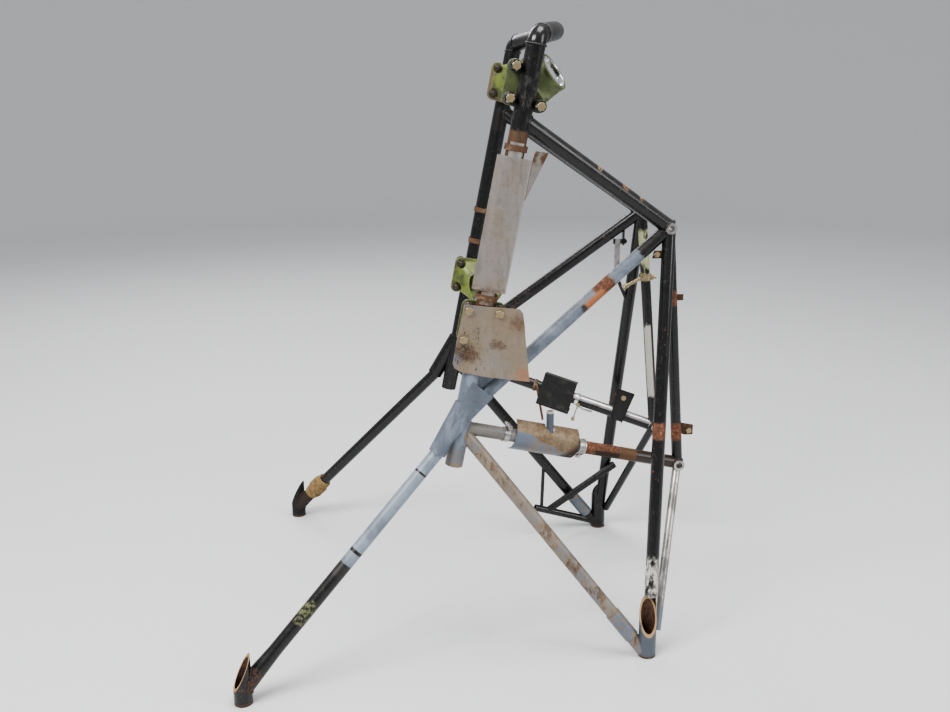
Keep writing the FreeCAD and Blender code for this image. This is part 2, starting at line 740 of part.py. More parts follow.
def bent_strip(name, placement, profile, length_alias):
    """Folded sheet: an open profile in the XY plane, thickened and run along Z."""
    body = doc.addObject("PartDesign::Body", name)
    sketch = flat_sketch(body, name + "_profile")
    offset = []
    for i, (x, y) in enumerate(profile):
        before = Vector(*profile[max(i - 1, 0)], 0)
        after = Vector(*profile[min(i + 1, len(profile) - 1)], 0)
        along = (after - before).normalize()
        offset.append((x + along.y * sheet_thickness, y - along.x * sheet_thickness))
    add_polygon(sketch, profile + offset[::-1])
    pad(body, name + "_pad", sketch, length_alias)
    body.Placement = placement
    return body


def make_tongue(name, start, end):
    """Part of a shield that lies on the rail under a band."""
    inner = rail_radius + weld_gap
    body = doc.addObject("PartDesign::Body", name)
    sketch = flat_sketch(body, name + "_profile")
    middle = math.radians(-90)
    half = math.radians(tongue_half_angle)
    outer = inner + sheet_thickness
    ends = []
    for radius in (inner, outer):
        circle = Part.Circle(ORIGIN, Z_AXIS, radius)
        sketch.addGeometry(Part.ArcOfCircle(circle, middle - half, middle + half), False)
        angles = (middle - half, middle + half)
        ends.append([Vector(radius * math.cos(a), radius * math.sin(a), 0) for a in angles])
    for i in (0, 1):
        sketch.addGeometry(Part.LineSegment(ends[0][i], ends[1][i]), False)
    extrusion = body.newObject("PartDesign::Pad", name + "_pad")
    extrusion.Profile = sketch
    extrusion.Length = end - start
    body.Tip = extrusion
    body.Placement = rail_frame(start)
    return body


def make_rail_shield():
    face = -(rail_radius + weld_gap)
    profile = [(-shield_half, face + shield_fold), (-shield_flat, face), (shield_flat, face),
               (shield_half, face + shield_fold)]
    main = bent_strip("rail_shield_main", rail_frame(shield_foot), profile, "Sizes.rail_shield_length")
    low = make_tongue("rail_shield_low_tongue", shield_foot - tongue_length, shield_foot + 1)
    high = make_tongue("rail_shield_high_tongue", shield_head - 1, shield_head + tongue_length)
    return union("rail_shield_solid", [main, low, high])


node(make_rail_shield(), "rail_shield")


def make_band(name, station, lining, width_alias="Sizes.band_width", width=band_width):
    """Clamp band round the rail; lining is what it holds down."""
    frame = rail_frame(station)
    start = frame.multVec(Vector(0, 0, -width / 2))
    end = frame.multVec(Vector(0, 0, width / 2))
    inside = "Sizes.rail_od + 2 * (%s + Sizes.weld_gap)" % lining
    return ring(name, start, end, inside + " + 2 * Sizes.band_thickness", inside)


tongue_lining = "Sizes.shield_thickness + Sizes.weld_gap"
tan_band_station = size("left_band_station", 266.0)
tan_lug_station = size("left_lug_band_station", 318.7)
right_bands = [make_band("low_band", shield_foot - tongue_length / 2, tongue_lining),
               make_band("high_band", shield_head + tongue_length / 2 + 2, tongue_lining)]
left_bands = [mirrored(name + "_left", make_band(name, station, "0"), False)
              for name, station in (("tan_band", tan_band_station), ("lug_band", tan_lug_station))]
group("rail_bands", right_bands + left_bands)

wing_depth = size("shield_wing_depth", 20.0)


def make_wing():
    """Wing bent back from the forward right edge of the rail shield."""
    start = Vector(shield_half + 0.6, -(rail_radius + weld_gap) + shield_fold, shield_foot + 127)
    side = Vector(21, wing_depth, 0).normalize()
    frame = rail_frame(0)
    turn = frame.Rotation.multiply(Rotation(side, Z_AXIS, side.cross(Z_AXIS), "ZXY"))
    place = Placement(frame.multVec(start), turn)
    outline = [(0, 0), (29.0, 66.0), (2.0, 66.0), (0, 54.0)]
    return plate("wing", place, "Sizes.shield_thickness", points=outline)


node(make_wing(), "shield_wing")


# Shields and clamps on the lower rails

wrap_start = size("wrap_shield_start", 0.226)
wrap_end = size("wrap_shield_end", 0.505)
wrap_radius = size("wrap_shield_radius", 24.0)
wrap_half_angle = size("wrap_shield_half_angle", 75.0)
scoop_start = size("scoop_start", 0.445)
scoop_length = size("scoop_length", 58.0)
scoop_half = size("scoop_half_height", 28.0)
scoop_depth = size("scoop_depth", 26.0)
stub_x = size("stub_tube_x", 111.0)
stub_od = size("stub_tube_od", 11.0)
stub_top = size("stub_tube_top_z", 353.5)

lower_dir = (lower_pivot - lower_joint).normalize()
lower_side = lower_dir.cross(Y_AXIS * -1).normalize()
lower_out = lower_side.cross(lower_dir)


def lower_frame(share):
    """Frame on the right lower rail: x outward, y up and z along the tube."""
    place = lower_joint + (lower_pivot - lower_joint) * share
    up = lower_dir.cross(lower_out)
    return Placement(place, Rotation(lower_out, up, lower_dir, "ZXY"))


def on_lower_rail(x):
    """Point on the axis of the right lower rail at a given x."""
    share = (x - lower_joint.x) / (lower_pivot.x - lower_joint.x)
    return lower_joint + (lower_pivot - lower_joint) * share


def make_wrap():
    """Curved shield that touches the outer side of the lower rail along its middle."""
    centre = brace_radius + weld_gap - (wrap_radius - sheet_thickness)
    half = math.radians(wrap_half_angle)
    body = doc.addObject("PartDesign::Body", "wrap")
    sketch = flat_sketch(body, "wrap_profile")
    middle = Vector(centre, 0, 0)
    ends = []
    for radius in (wrap_radius - sheet_thickness, wrap_radius):
        sketch.addGeometry(Part.ArcOfCircle(Part.Circle(middle, Z_AXIS, radius), -half, half), False)
        ends.append([middle + Vector(radius * math.cos(a), radius * math.sin(a), 0) for a in (-half, half)])
    for i in (0, 1):
        sketch.addGeometry(Part.LineSegment(ends[0][i], ends[1][i]), False)
    extrusion = body.newObject("PartDesign::Pad", "wrap_pad")
    extrusion.Profile = sketch
    extrusion.Length = (wrap_end - wrap_start) * lower_joint.distanceToPoint(lower_pivot)
    body.Tip = extrusion
    body.Placement = lower_frame(wrap_start)
    stub = on_lower_rail(stub_x)
    notch = []
    for i, shift in enumerate((0, stub_od / 2 + 1)):
        inward = lower_frame(0).Rotation.multVec(X_AXIS * -shift)
        foot = stub + inward
        notch.append(rod("wrap_notch_%d" % i, foot, foot + Z_AXIS * 50, "Sizes.stub_tube_od + 2"))
    return cut("wrap_notched", body, notch)


node(make_wrap(), "wrap_shield")


def lower_band(name, share, width, thickness_expression):
    frame = lower_frame(share)
    start = frame.multVec(Vector(0, 0, -width / 2))
    end = frame.multVec(Vector(0, 0, width / 2))
    inside = "Sizes.brace_od + 2 * Sizes.weld_gap"
    return ring(name, start, end, "%s + 2 * %s" % (inside, thickness_expression), inside)


def make_hose_clamp():
    """Worm-drive clamp: a thin band with the housing and screw of its drive on top."""
    band = lower_band("hose_band", wrap_start - 0.036, band_width, "Sizes.band_thickness")
    frame = lower_frame(wrap_start - 0.036)
    lift = brace_radius + weld_gap + band_thickness
    low = frame.multVec(Vector(-8, lift + 2.5, 0))
    high = frame.multVec(Vector(8, lift + 2.5, 0))
    screw = rod("hose_screw", low, high, "Sizes.band_width - 1")
    hole = rod("hose_clearance", frame.multVec(Vector(0, 0, -20)), frame.multVec(Vector(0, 0, 20)),
               "Sizes.brace_od + 2 * Sizes.weld_gap")
    return cut("hose_clamp", union("hose_clamp_solid", [band, screw]), [hole])


wide_band = size("wide_band_width", 11.0)
group("lower_rail_clamps", [make_hose_clamp(),
                            lower_band("wide_clamp", wrap_end + 0.022, wide_band, "1.5 * Sizes.band_thickness")])


def make_scoop():
    """Folded box shield round the left lower rail, open towards the middle."""
    inner = -(brace_radius + weld_gap)
    profile = [(inner + scoop_depth, scoop_half - 4), (inner, scoop_half), (inner, -scoop_half),
               (inner + scoop_depth, -scoop_half + 4)]
    return bent_strip("scoop", lower_frame(scoop_start), profile, "Sizes.scoop_length")


mirrored("scoop_shield", make_scoop())


# Stub tube on the right lower rail

def make_stub():
    base = on_lower_rail(stub_x)
    top = Vector(base.x, base.y, stub_top)
    return tube("stub", base, top, "Sizes.stub_tube_od", "Sizes.thin_tube_wall", [lower_rail_cope])


node(make_stub(), "stub_tube")


# Bracket that hangs from the left lower rail, and the small tabs of the gear tubes

hanger_share = size("hanger_share", 0.83)
hanger_top_width = size("hanger_top_width", 19.0)
hanger_foot_width = size("hanger_foot_width", 29.0)
hanger_drop = size("hanger_drop", 44.0)
hanger_fold = size("hanger_fold_depth", 7.0)
tab_thickness = size("tab_thickness", 2.0)
small_bolt_od = size("small_bolt_od", 5.0)
small_head = size("small_bolt_head", 8.0)
small_head_height = size("small_bolt_head_height", 3.2)


def make_hanger():
    """Channel: a tapered web against the inner side of the rail, with a flange at either edge."""
    frame = lower_frame(hanger_share)
    face = -(brace_radius + weld_gap)
    top = brace_radius
    foot = -hanger_drop
    half = hanger_top_width / 2
    foot_half = hanger_foot_width / 2
    turn = Rotation(Z_AXIS, Y_AXIS, X_AXIS * -1, "ZXY")
    web = plate("hanger_web", frame.multiply(Placement(Vector(face, 0, 0), turn)), "Sizes.tab_thickness",
                points=[(-foot_half, foot), (foot_half, foot), (half, top), (-half, top)],
                holes=([(0, foot + 12)], "Sizes.small_bolt_od + 2 * Sizes.fit_gap",
                       small_bolt_od + 2 * fit_gap))
    flanges = []
    for side in (1, -1):
        low = frame.multVec(Vector(face, foot, side * foot_half))
        high = frame.multVec(Vector(face, top, side * half))
        along = (high - low).normalize()
        inward = frame.Rotation.multVec(X_AXIS * -1)
        across = along.cross(inward)
        place = Placement(low - across * (tab_thickness / 2), Rotation(along, inward, across, "ZXY"))
        length = low.distanceToPoint(high)
        flanges.append(plate("hanger_flange_%d" % (side + 2), place, "Sizes.tab_thickness",
                             points=[(0, 0), (length, 0), (length, hanger_fold), (0, hanger_fold)]))
    return union("hanger_solid", [web] + flanges)


mirrored("hanging_bracket", make_hanger())

tab_x = size("front_tab_x", 311.0)
tab_z = size("front_tab_z", 506.0)
door_tab_x = size("door_tab_x", 336.2)
door_tab_z = size("door_tab_z", 298.0)
lug_x = size("post_lug_x", 266.5)
lug_z = size("post_lug_z", 572.0)


def along_line(start, end, z):
    """Point of a line at a height."""
    return start + (end - start) * ((z - start.z) / (end.z - start.z))


def side_plate(name, y, points, holes, tools):
    """Tab parallel to the XZ plane about a given y, coped by tubes."""
    place = Placement(Vector(0, y + tab_thickness / 2, 0), Rotation(X_AXIS, Z_AXIS, Y_AXIS * -1, "ZXY"))
    return cut(name, plate(name + "_plate", place, "Sizes.tab_thickness", points=points, holes=holes), tools)


def make_gear_tabs():
    small_hole = ("Sizes.small_bolt_od + 2 * Sizes.fit_gap", small_bolt_od + 2 * fit_gap)
    front = along_line(lower_pivot, upper_pivot, tab_z)
    tab = side_plate("front_tab", front.y,
                     [(front.x, tab_z - 4.5), (tab_x, tab_z - 4.5), (tab_x, tab_z + 4.5), (front.x, tab_z + 4.5)],
                     None, [front_cope])
    door = along_line(lower_pivot, upper_pivot, door_tab_z)
    door_plate = side_plate("door_tab", door.y,
                            [(door.x, door_tab_z - 1), (door.x + 12, door_tab_z - 7),
                             (door_tab_x, door_tab_z - 7), (door_tab_x, door_tab_z + 8.5),
                             (door.x, door_tab_z + 13.5)],
                            ([(door_tab_x - 6.5, door_tab_z)],) + small_hole, [front_cope])
    post = along_line(post_foot, upper_pivot, lug_z)
    touch = brace_radius + 2 * weld_gap
    low = along_line(post_foot, upper_pivot, lug_z - 6)
    high = along_line(post_foot, upper_pivot, lug_z + 5)
    place = Placement(Vector(0, post.y + tab_thickness / 2, 0), Rotation(X_AXIS, Z_AXIS, Y_AXIS * -1, "ZXY"))
    lug = plate("post_lug", place, "Sizes.tab_thickness",
                points=[(lug_x - 6, low.z), (low.x - touch, low.z), (high.x - touch, high.z), (lug_x - 3, high.z)],
                holes=([(lug_x, lug_z)],) + small_hole)
    return [tab, door_plate, lug], door.y, post.y


gear_tabs, door_y, lug_y = make_gear_tabs()
group("gear_tabs", gear_tabs)


def small_bolt(name, under_head, along, grip):
    """Bolt and nut through a thin part; along points from the head to the nut."""
    nut_face = under_head + along * (grip + fit_gap)
    shank = rod(name + "_shank", under_head, nut_face + along * (small_head_height + 2), "Sizes.small_bolt_od")
    head = hex_prism(name + "_head", under_head - along * small_head_height, under_head, small_head,
                     "Sizes.small_bolt_head")
    nut = hex_prism(name + "_nut", nut_face, nut_face + along * small_head_height, small_head,
                    "Sizes.small_bolt_head")
    return union(name, [shank, head, nut])


def make_small_bolts():
    frame = lower_frame(hanger_share)
    inner = -(brace_radius + weld_gap + tab_thickness + fit_gap)
    hanger_bolt = small_bolt("hanger_bolt", frame.multVec(Vector(inner, -hanger_drop + 12, 0)),
                             frame.Rotation.multVec(X_AXIS), tab_thickness + fit_gap)
    outer = tab_thickness / 2 + fit_gap
    door_bolt = small_bolt("door_bolt", Vector(door_tab_x - 6.5, door_y - outer, door_tab_z), Y_AXIS,
                           tab_thickness + fit_gap)
    lug_bolt = small_bolt("lug_bolt", Vector(lug_x, lug_y - outer, lug_z), Y_AXIS, tab_thickness + fit_gap)
    return [mirrored("hanger_bolt_left", hanger_bolt, False), door_bolt, lug_bolt]


group("tab_bolts", make_small_bolts())


# Brace frame at the foot of the left lower diagonal

frame_x = size("brace_frame_x", 126.0)
frame_half = size("brace_frame_half_spacing", 197.0)
frame_z = size("brace_frame_z", 51.5)
frame_foot_z = size("brace_frame_foot_z", 8.0)
frame_od = size("brace_frame_od", 12.7)
frame_joint = size("brace_frame_joint_share", 0.2)
frame_cross_z = size("brace_frame_crossing_z", 126.0)
frame_overrun = size("brace_frame_overrun", 18.0)
size("brace_strut_od", 6.4)
strut_share = size("brace_strut_share", 0.1)
strut_top_z = size("brace_strut_top_z", 135.0)

frame_start = right(frame_x, frame_half, frame_z)
frame_end = right(lower_x, lower_half, frame_foot_z)
frame_cope = envelope("brace_frame", frame_start, frame_end, "Sizes.brace_frame_od")
lower_diagonal_cope = envelope("lower_diagonal", diagonal_foot, diagonal_joint, "Sizes.brace_od", 5)
repair_cope = envelope("repair", diagonal_foot, diagonal_joint, "Sizes.repair_sleeve_od", -repair_offset + 1,
                       -lower_fitting.distanceToPoint(diagonal_joint) + repair_offset + repair_length + 1)

brace_rail = tube("brace_rail_tube", frame_start, frame_end, "Sizes.brace_frame_od", "Sizes.thin_tube_wall",
                  [lower_cope, lower_diagonal_cope, repair_cope])
mirrored("brace_rail", brace_rail)


def make_brace_diagonal():
    """Tube that leans on the inner side of the gear post."""
    start = frame_start + (frame_end - frame_start) * frame_joint
    post = along_line(post_foot, upper_pivot, frame_cross_z)
    crossing = post + Y_AXIS * (brace_radius + frame_od / 2)
    along = (crossing - start).normalize()
    return tube("brace_diagonal_tube", start, crossing + along * frame_overrun, "Sizes.brace_frame_od",
                "Sizes.thin_tube_wall", [frame_cope, post_cope])


mirrored("brace_diagonal", make_brace_diagonal())


def make_brace_strut():
    start = frame_start + (frame_end - frame_start) * strut_share
    end = along_line(diagonal_foot, diagonal_joint, strut_top_z)
    bar = rod("strut_bar", start, end, "Sizes.brace_strut_od")
    return cut("brace_strut_bar", bar, [frame_cope, lower_diagonal_cope])


mirrored("brace_strut", make_brace_strut())


# Gear door lever under the left mid diagonal; its pivot lies along X

lever_x = size("lever_x", 248.5)
lever_half = size("lever_half_spacing", 105.0)
lever_z = size("lever_pivot_z", 558.0)
lever_width = size("lever_width", 8.0)
lever_depth = size("lever_depth", 6.5)
lever_sheet = size("lever_sheet", 1.2)
lever_drop = size("lever_drop", 45.0)
lever_rise = size("lever_rise", 4.5)
lever_pin_od = size("lever_pin_od", 4.0)
running_gap = size("running_gap", 0.3)
ear_thickness = size("lever_ear_thickness", 2.5)
ear_offset = size("lever_ear_offset", 8.0)
size("lever_stop_od", 6.0)
stop_foot_z = size("lever_stop_foot_z", 446.0)

lever_pivot = right(lever_x, lever_half, lever_z)


def box(name, low, high):
    block = doc.addObject("Part::Box", name)
    block.Length = high.x - low.x
    block.Width = high.y - low.y
    block.Height = high.z - low.z
    block.Placement = Placement(low, Rotation())
    return block


def make_lever():
    """Folded channel that hangs from its pivot, open to the outside."""
    half = lever_width / 2
    deep = lever_depth / 2
    low = lever_pivot + Vector(-half, -deep, -lever_drop)
    high = lever_pivot + Vector(half, deep, lever_rise)
    outside = box("lever_outside", low, high)
    inside = box("lever_inside", low + Vector(lever_sheet, -1, -1),
                 high + Vector(-lever_sheet, -lever_sheet, 1))
    hole = rod("lever_hole", lever_pivot - X_AXIS * 10, lever_pivot + X_AXIS * 10,
               "Sizes.lever_pin_od + 2 * Sizes.fit_gap")
    channel = cut("lever_channel", outside, [inside, hole])
    foot = lever_pivot + Vector(0, 0, -lever_drop + 4)
    rivet = rod("lever_rivet", foot + Y_AXIS * 1.5, foot + Y_AXIS * (deep + 1.4), "Sizes.lever_sheet * 4")
    return union("lever_solid", [channel, rivet])


mirrored("door_lever", make_lever())


def make_lever_mount():
    """Ear under the tube, pivot bolt with its nuts, and the stop that the lever swings over."""
    ear_x = lever_x + ear_offset
    width = 6.0
    place = Placement(Vector(ear_x, -lever_half, lever_z), Rotation(Y_AXIS, Z_AXIS, X_AXIS, "ZXY"))
    ear = plate("lever_ear", place, "Sizes.lever_ear_thickness",
                points=[(-width, -3), (-3, -width), (3, -width), (width, -3), (width, 26), (-width, 26)],
                holes=([(0, 0)], "Sizes.lever_pin_od + 2 * Sizes.fit_gap", lever_pin_od + 2 * fit_gap))
    head_face = lever_x - lever_width / 2 - running_gap
    nut_face = ear_x + ear_thickness

    def at(x):
        return Vector(x, -lever_half, lever_z)

    shank = rod("lever_pin", at(head_face), at(nut_face + 5), "Sizes.lever_pin_od")
    head = hex_prism("lever_pin_head", at(head_face - 2.5), at(head_face), small_head, "Sizes.small_bolt_head")
    spacer = rod("lever_spacer", at(lever_x + lever_width / 2 + running_gap), at(ear_x - fit_gap),
                 "Sizes.small_bolt_head")
    nut = hex_prism("lever_nut", at(nut_face + fit_gap), at(nut_face + 3.2), small_head, "Sizes.small_bolt_head")
    bolt = union("lever_bolt", [shank, head, spacer, nut])
    stop_start = along_line(post_foot, upper_pivot, stop_foot_z)
    stop_end = lever_pivot + Vector(-2, 1, -lever_drop - 9)
    stop = cut("lever_stop", rod("lever_stop_bar", stop_start, stop_end, "Sizes.lever_stop_od"), [post_cope])
    return [cut("lever_ear_coped", ear, [mid_cope]), bolt, stop]


group("lever_mount", [mirrored(piece.Name + "_left", piece, False) for piece in make_lever_mount()])


# Swivelling link on the left gear front tube; its pin lies along Y

link_clamp_z = size("link_clamp_z", 500.0)
link_clamp_width = size("link_clamp_width", 10.0)
link_pin_od = size("link_pin_od", 5.0)
link_eye_od = size("link_eye_od", 10.0)
link_eye_width = size("link_eye_width", 7.0)
link_rod_od = size("link_rod_od", 5.5)
link_reach = size("link_reach", 27.0)
link_fall = size("link_fall", 14.0)
link_offset = size("link_pin_offset", 6.5)
stud_length = size("link_stud_length", 9.0)


def make_link():
    """Clamp with a cross pin towards the middle plane and the rod that turns on it."""
    base = along_line(lower_pivot, upper_pivot, link_clamp_z)
    along = (upper_pivot - lower_pivot).normalize()
    start = base - along * (link_clamp_width / 2)
    end = base + along * (link_clamp_width / 2)
    inside = "Sizes.gear_front_tube_od + 2 * Sizes.fit_gap"
    band = rod("link_band", start, end, inside + " + 2 * Sizes.band_thickness")
    clear = rod("link_band_clear", start, end, inside, 6, 6)
    face = base.y + front_od / 2 + band_thickness
    pin_x = base.x - link_offset

    def at(y, x=0.0, z=0.0):
        return Vector(pin_x + x, y, base.z + 3 + z)

    pad_block = rod("link_pad", at(base.y), at(face), "Sizes.link_eye_od")
    eye_start = face + running_gap
    eye_end = eye_start + link_eye_width
    pin = rod("link_pin", at(base.y), at(eye_end + running_gap + 2.5), "Sizes.link_pin_od")
    head = rod("link_pin_head", at(eye_end + running_gap), at(eye_end + running_gap + 2.5), "Sizes.small_bolt_head")
    stud_start = base + X_AXIS * (front_od / 2)
    stud = rod("link_stud", stud_start, stud_start + X_AXIS * (stud_length + 1), "Sizes.link_pin_od")
    nut = hex_prism("link_stud_nut", stud_start + X_AXIS * (band_thickness + 0.5),
                    stud_start + X_AXIS * (band_thickness + 4), small_head, "Sizes.small_bolt_head")
    clamp = cut("link_clamp_piece", union("link_clamp_solid", [band, pad_block, pin, head, stud, nut]), [clear])
    middle = (eye_start + eye_end) / 2
    eye = rod("link_eye", at(eye_start), at(eye_end), "Sizes.link_eye_od")
    bar = rod("link_bar", at(middle), at(middle, -link_reach, -link_fall), "Sizes.link_rod_od")
    fork_start = at(middle, -link_reach, -link_fall)
    fork_dir = (fork_start - at(middle)).normalize()
    fork = rod("link_fork", fork_start - fork_dir * 3, fork_start + fork_dir * 7, "Sizes.small_bolt_head")
    slot_low = fork_start + fork_dir * 4
    slot = rod("link_fork_slot", slot_low - Y_AXIS * 9, slot_low + Y_AXIS * 9, "Sizes.link_pin_od - 1")
    hole = rod("link_eye_hole", at(eye_start), at(eye_end), "Sizes.link_pin_od + 2 * Sizes.fit_gap", 1, 1)
    return clamp, cut("link_rod_piece", union("link_rod_solid", [eye, bar, fork]), [hole, slot])


link_clamp, link_bar = make_link()
mirrored("link_clamp", link_clamp)
mirrored("link_rod", link_bar)


# Twine lashed round the foot of the left upper leg

lash_start = size("lashing_start", 71.0)
lash_turns = size("lashing_turns", 4)
lash_od = size("lashing_od", 2.6)


def make_lashing():
    along = (leg_joint - leg_root).normalize()
    turns = []
    for i in range(int(lash_turns)):
        turn = doc.addObject("Part::Torus", "lashing_turn_%d" % i)
        turn.setExpression("Radius1", "(Sizes.brace_od + Sizes.lashing_od) / 2 + Sizes.fit_gap")
        turn.setExpression("Radius2", "Sizes.lashing_od / 2")
        turn.Angle1 = -180
        turn.Angle2 = 180
        place = leg_root + along * (lash_start + i * (lash_od + fit_gap))
        turn.Placement = Placement(place, Rotation(Z_AXIS, along))
        turns.append(mirrored("lashing_turn_left_%d" % i, turn, False))
    return turns


group("foot_lashing", make_lashing())


# Check and save

doc.recompute()


def check(obj):
    states = [state for state in obj.State if state in ("Invalid", "Error")]
    if states:
        raise RuntimeError("%s is %s" % (obj.Name, states))


for obj in doc.Objects:
    check(obj)
for obj in nodes:
    if obj.Shape.isNull() or not obj.Shape.isValid():
        raise RuntimeError("%s has no valid shape" % obj.Label)

os.makedirs("parts", exist_ok=True)
for obj in nodes:
    obj.Shape.exportStep("parts/%s.step" % obj.Label)
print("nodes", len(nodes))
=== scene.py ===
import json
import math
import random
from collections import namedtuple

import bpy
from mathutils import Matrix, Vector


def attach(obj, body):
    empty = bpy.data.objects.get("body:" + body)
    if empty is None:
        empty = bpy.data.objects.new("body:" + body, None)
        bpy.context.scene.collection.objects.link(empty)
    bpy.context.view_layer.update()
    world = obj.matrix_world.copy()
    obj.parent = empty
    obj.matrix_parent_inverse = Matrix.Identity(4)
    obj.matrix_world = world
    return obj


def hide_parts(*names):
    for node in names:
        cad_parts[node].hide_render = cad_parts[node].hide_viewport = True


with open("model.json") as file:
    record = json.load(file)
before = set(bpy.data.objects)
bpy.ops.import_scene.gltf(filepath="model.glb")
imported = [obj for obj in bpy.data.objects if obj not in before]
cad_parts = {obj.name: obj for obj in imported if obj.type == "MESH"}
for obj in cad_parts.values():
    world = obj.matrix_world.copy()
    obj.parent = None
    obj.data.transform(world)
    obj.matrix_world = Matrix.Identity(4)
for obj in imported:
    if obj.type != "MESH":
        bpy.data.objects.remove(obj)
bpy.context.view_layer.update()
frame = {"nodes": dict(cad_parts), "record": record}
rng = random.Random(7)

MM = 0.001
BODY = "frame"
X_AXIS = Vector((1, 0, 0))
Y_AXIS = Vector((0, 1, 0))
Z_AXIS = Vector((0, 0, 1))


def at(x, y, z):
    """Point of the mount's frame, given in millimetres."""
    return Vector((x, y, z)) * MM


def far(point):
    """The same point on the left side."""
    return Vector((point.x, -point.y, point.z))


HANDS = (("right", Vector), ("left", far))


# Centre lines of the right tubes, as in the part's source

RAIL_FOOT = at(-30, -186, 290)
RAIL_TOP = at(85.8, -186, 870.7)
RAIL_DIR = (RAIL_TOP - RAIL_FOOT).normalized()
RAIL_OUT = Y_AXIS.cross(RAIL_DIR)
RAIL_R = 12.7 * MM
BRACE_R = 9.525 * MM
TOP_R = 11.1 * MM
FRONT_R = 7.95 * MM
REAR_R = 6.35 * MM
PIVOT_R = 8.5 * MM
FITTING_R = 12.7 * MM
LEG_SEAM_R = 12.4 * MM
BOSS_R = 7 * MM
FLANGE_MID = 16.6
UPPER_WALL = at(-323.5, -310.5, 0)
LOWER_WALL = at(247.5, -224.5, 0)
UPPER_PIVOT = at(285.5, -97, 609)
LOWER_PIVOT = at(314.9, -86, 245.2)
LEG_ROOT = at(-323.5, -310.5, 20)
LEG_JOINT = at(-53.4, -200, 313)
POST_AIM = LOWER_WALL - Y_AXIS * 8.5 * MM
POST_FOOT = POST_AIM.lerp(UPPER_PIVOT, 42 / 609)
REAR_FOOT = at(264.6, -212, 48.7)
FRONT_STATION = (RAIL_TOP - RAIL_FOOT).length / MM - 63.1
AFT_STATION = 205.5
BRACKETS = (("front", FRONT_STATION, 1), ("aft", AFT_STATION, -1))


def on_rail(height):
    """Point on the axis of the right rail at a height."""
    return RAIL_FOOT + RAIL_DIR * ((height * MM - RAIL_FOOT.z) / RAIL_DIR.z)


def rail_point(station, x=0.0, y=0.0):
    """Point in the right rail's own frame: along it, to the belly and inward."""
    return RAIL_FOOT + (RAIL_DIR * station + RAIL_OUT * x + Y_AXIS * y) * MM


TOP_JOINT = on_rail(765)
MID_JOINT = on_rail(366)
LOWER_JOINT = on_rail(346)
DIAGONAL_JOINT = on_rail(343)
LOWER_DIR = (LOWER_PIVOT - LOWER_JOINT).normalized()
LOWER_UP = -LOWER_DIR.cross(-Y_AXIS).normalized()
LOWER_OUT = LOWER_DIR.cross(LOWER_UP)
RING_TILT = math.radians(62)
RING_PITCH = math.radians(42)
RING_RISE = 21.8
RING_SIDE = (32.4, 46)


def lower_point(share):
    """Point on the axis of the right lower rail, at a share of its length."""
    return LOWER_JOINT.lerp(LOWER_PIVOT, share)


def ring_place(station, up):
    """Centre and axis of a right isolator ring."""
    level = math.cos(RING_PITCH)
    axis = Y_AXIS * (level * math.cos(RING_TILT)) - RAIL_OUT * (level * math.sin(RING_TILT))
    axis -= RAIL_DIR * (math.sin(RING_PITCH) * up)
    return rail_point(station + RING_RISE * up, *RING_SIDE), axis


# Finishes; a coat is metal where its last value says so

Coat = namedtuple("Coat", "colour rough metal", defaults=(0.0,))

BLACK = Coat((0.0085, 0.0085, 0.009), 0.24)
BLACK_SATIN = Coat((0.008, 0.0075, 0.007), 0.42)
BLACK_WORN = Coat((0.035, 0.031, 0.027), 0.55)
SOOT = Coat((0.006, 0.006, 0.006), 0.7)
DUST = Coat((0.16, 0.14, 0.115), 0.85)
BLUE_GREY = Coat((0.135, 0.16, 0.20), 0.38)
PALE_BLUE = Coat((0.25, 0.295, 0.345), 0.34)
SLATE = Coat((0.085, 0.10, 0.125), 0.42)
WARM_GREY = Coat((0.215, 0.19, 0.16), 0.45)
PRIMER_WHITE = Coat((0.52, 0.50, 0.44), 0.6)
PRIMER_GREEN = Coat((0.34, 0.35, 0.20), 0.6)
OLIVE = Coat((0.13, 0.135, 0.055), 0.6)
RUST_RED = Coat((0.17, 0.066, 0.034), 0.85)
RUST_BROWN = Coat((0.085, 0.042, 0.024), 0.88)
RUST_DARK = Coat((0.035, 0.020, 0.013), 0.85)
RUST_ORANGE = Coat((0.34, 0.145, 0.068), 0.85)
RUST_TAN = Coat((0.36, 0.23, 0.12), 0.75)
STEEL = Coat((0.50, 0.48, 0.46), 0.34, 1.0)
STEEL_DARK = Coat((0.20, 0.19, 0.18), 0.42, 1.0)
SHIELD_STEEL = Coat((0.30, 0.28, 0.255), 0.42, 0.6)
HEAT_PINK = Coat((0.33, 0.28, 0.26), 0.42, 0.6)
HEAT_BLUE = Coat((0.20, 0.21, 0.26), 0.4, 0.6)
HEAT_TAN = Coat((0.255, 0.195, 0.125), 0.48, 0.4)
HEAT_BROWN = Coat((0.12, 0.062, 0.03), 0.6, 0.3)
CHROMATE = Coat((0.085, 0.105, 0.038), 0.42, 0.3)
CHROMATE_PALE = Coat((0.15, 0.175, 0.08), 0.40, 0.35)
CHROMATE_BRIGHT = Coat((0.22, 0.27, 0.05), 0.40, 0.25)
CHROMATE_DARK = Coat((0.035, 0.04, 0.018), 0.6, 0.1)
MACHINED = Coat((0.80, 0.80, 0.80), 0.14, 1.0)
GOLD = Coat((0.38, 0.31, 0.19), 0.34, 0.8)
GOLD_DULL = Coat((0.24, 0.16, 0.065), 0.55, 0.5)
BRASS = Coat((0.62, 0.42, 0.16), 0.32, 1.0)
CAST_TAN = Coat((0.17, 0.125, 0.075), 0.55, 0.2)
DIRT = Coat((0.060, 0.045, 0.032), 0.9)
GREASE = Coat((0.012, 0.010, 0.008), 0.35)
TWINE = Coat((0.40, 0.27, 0.12), 0.9)


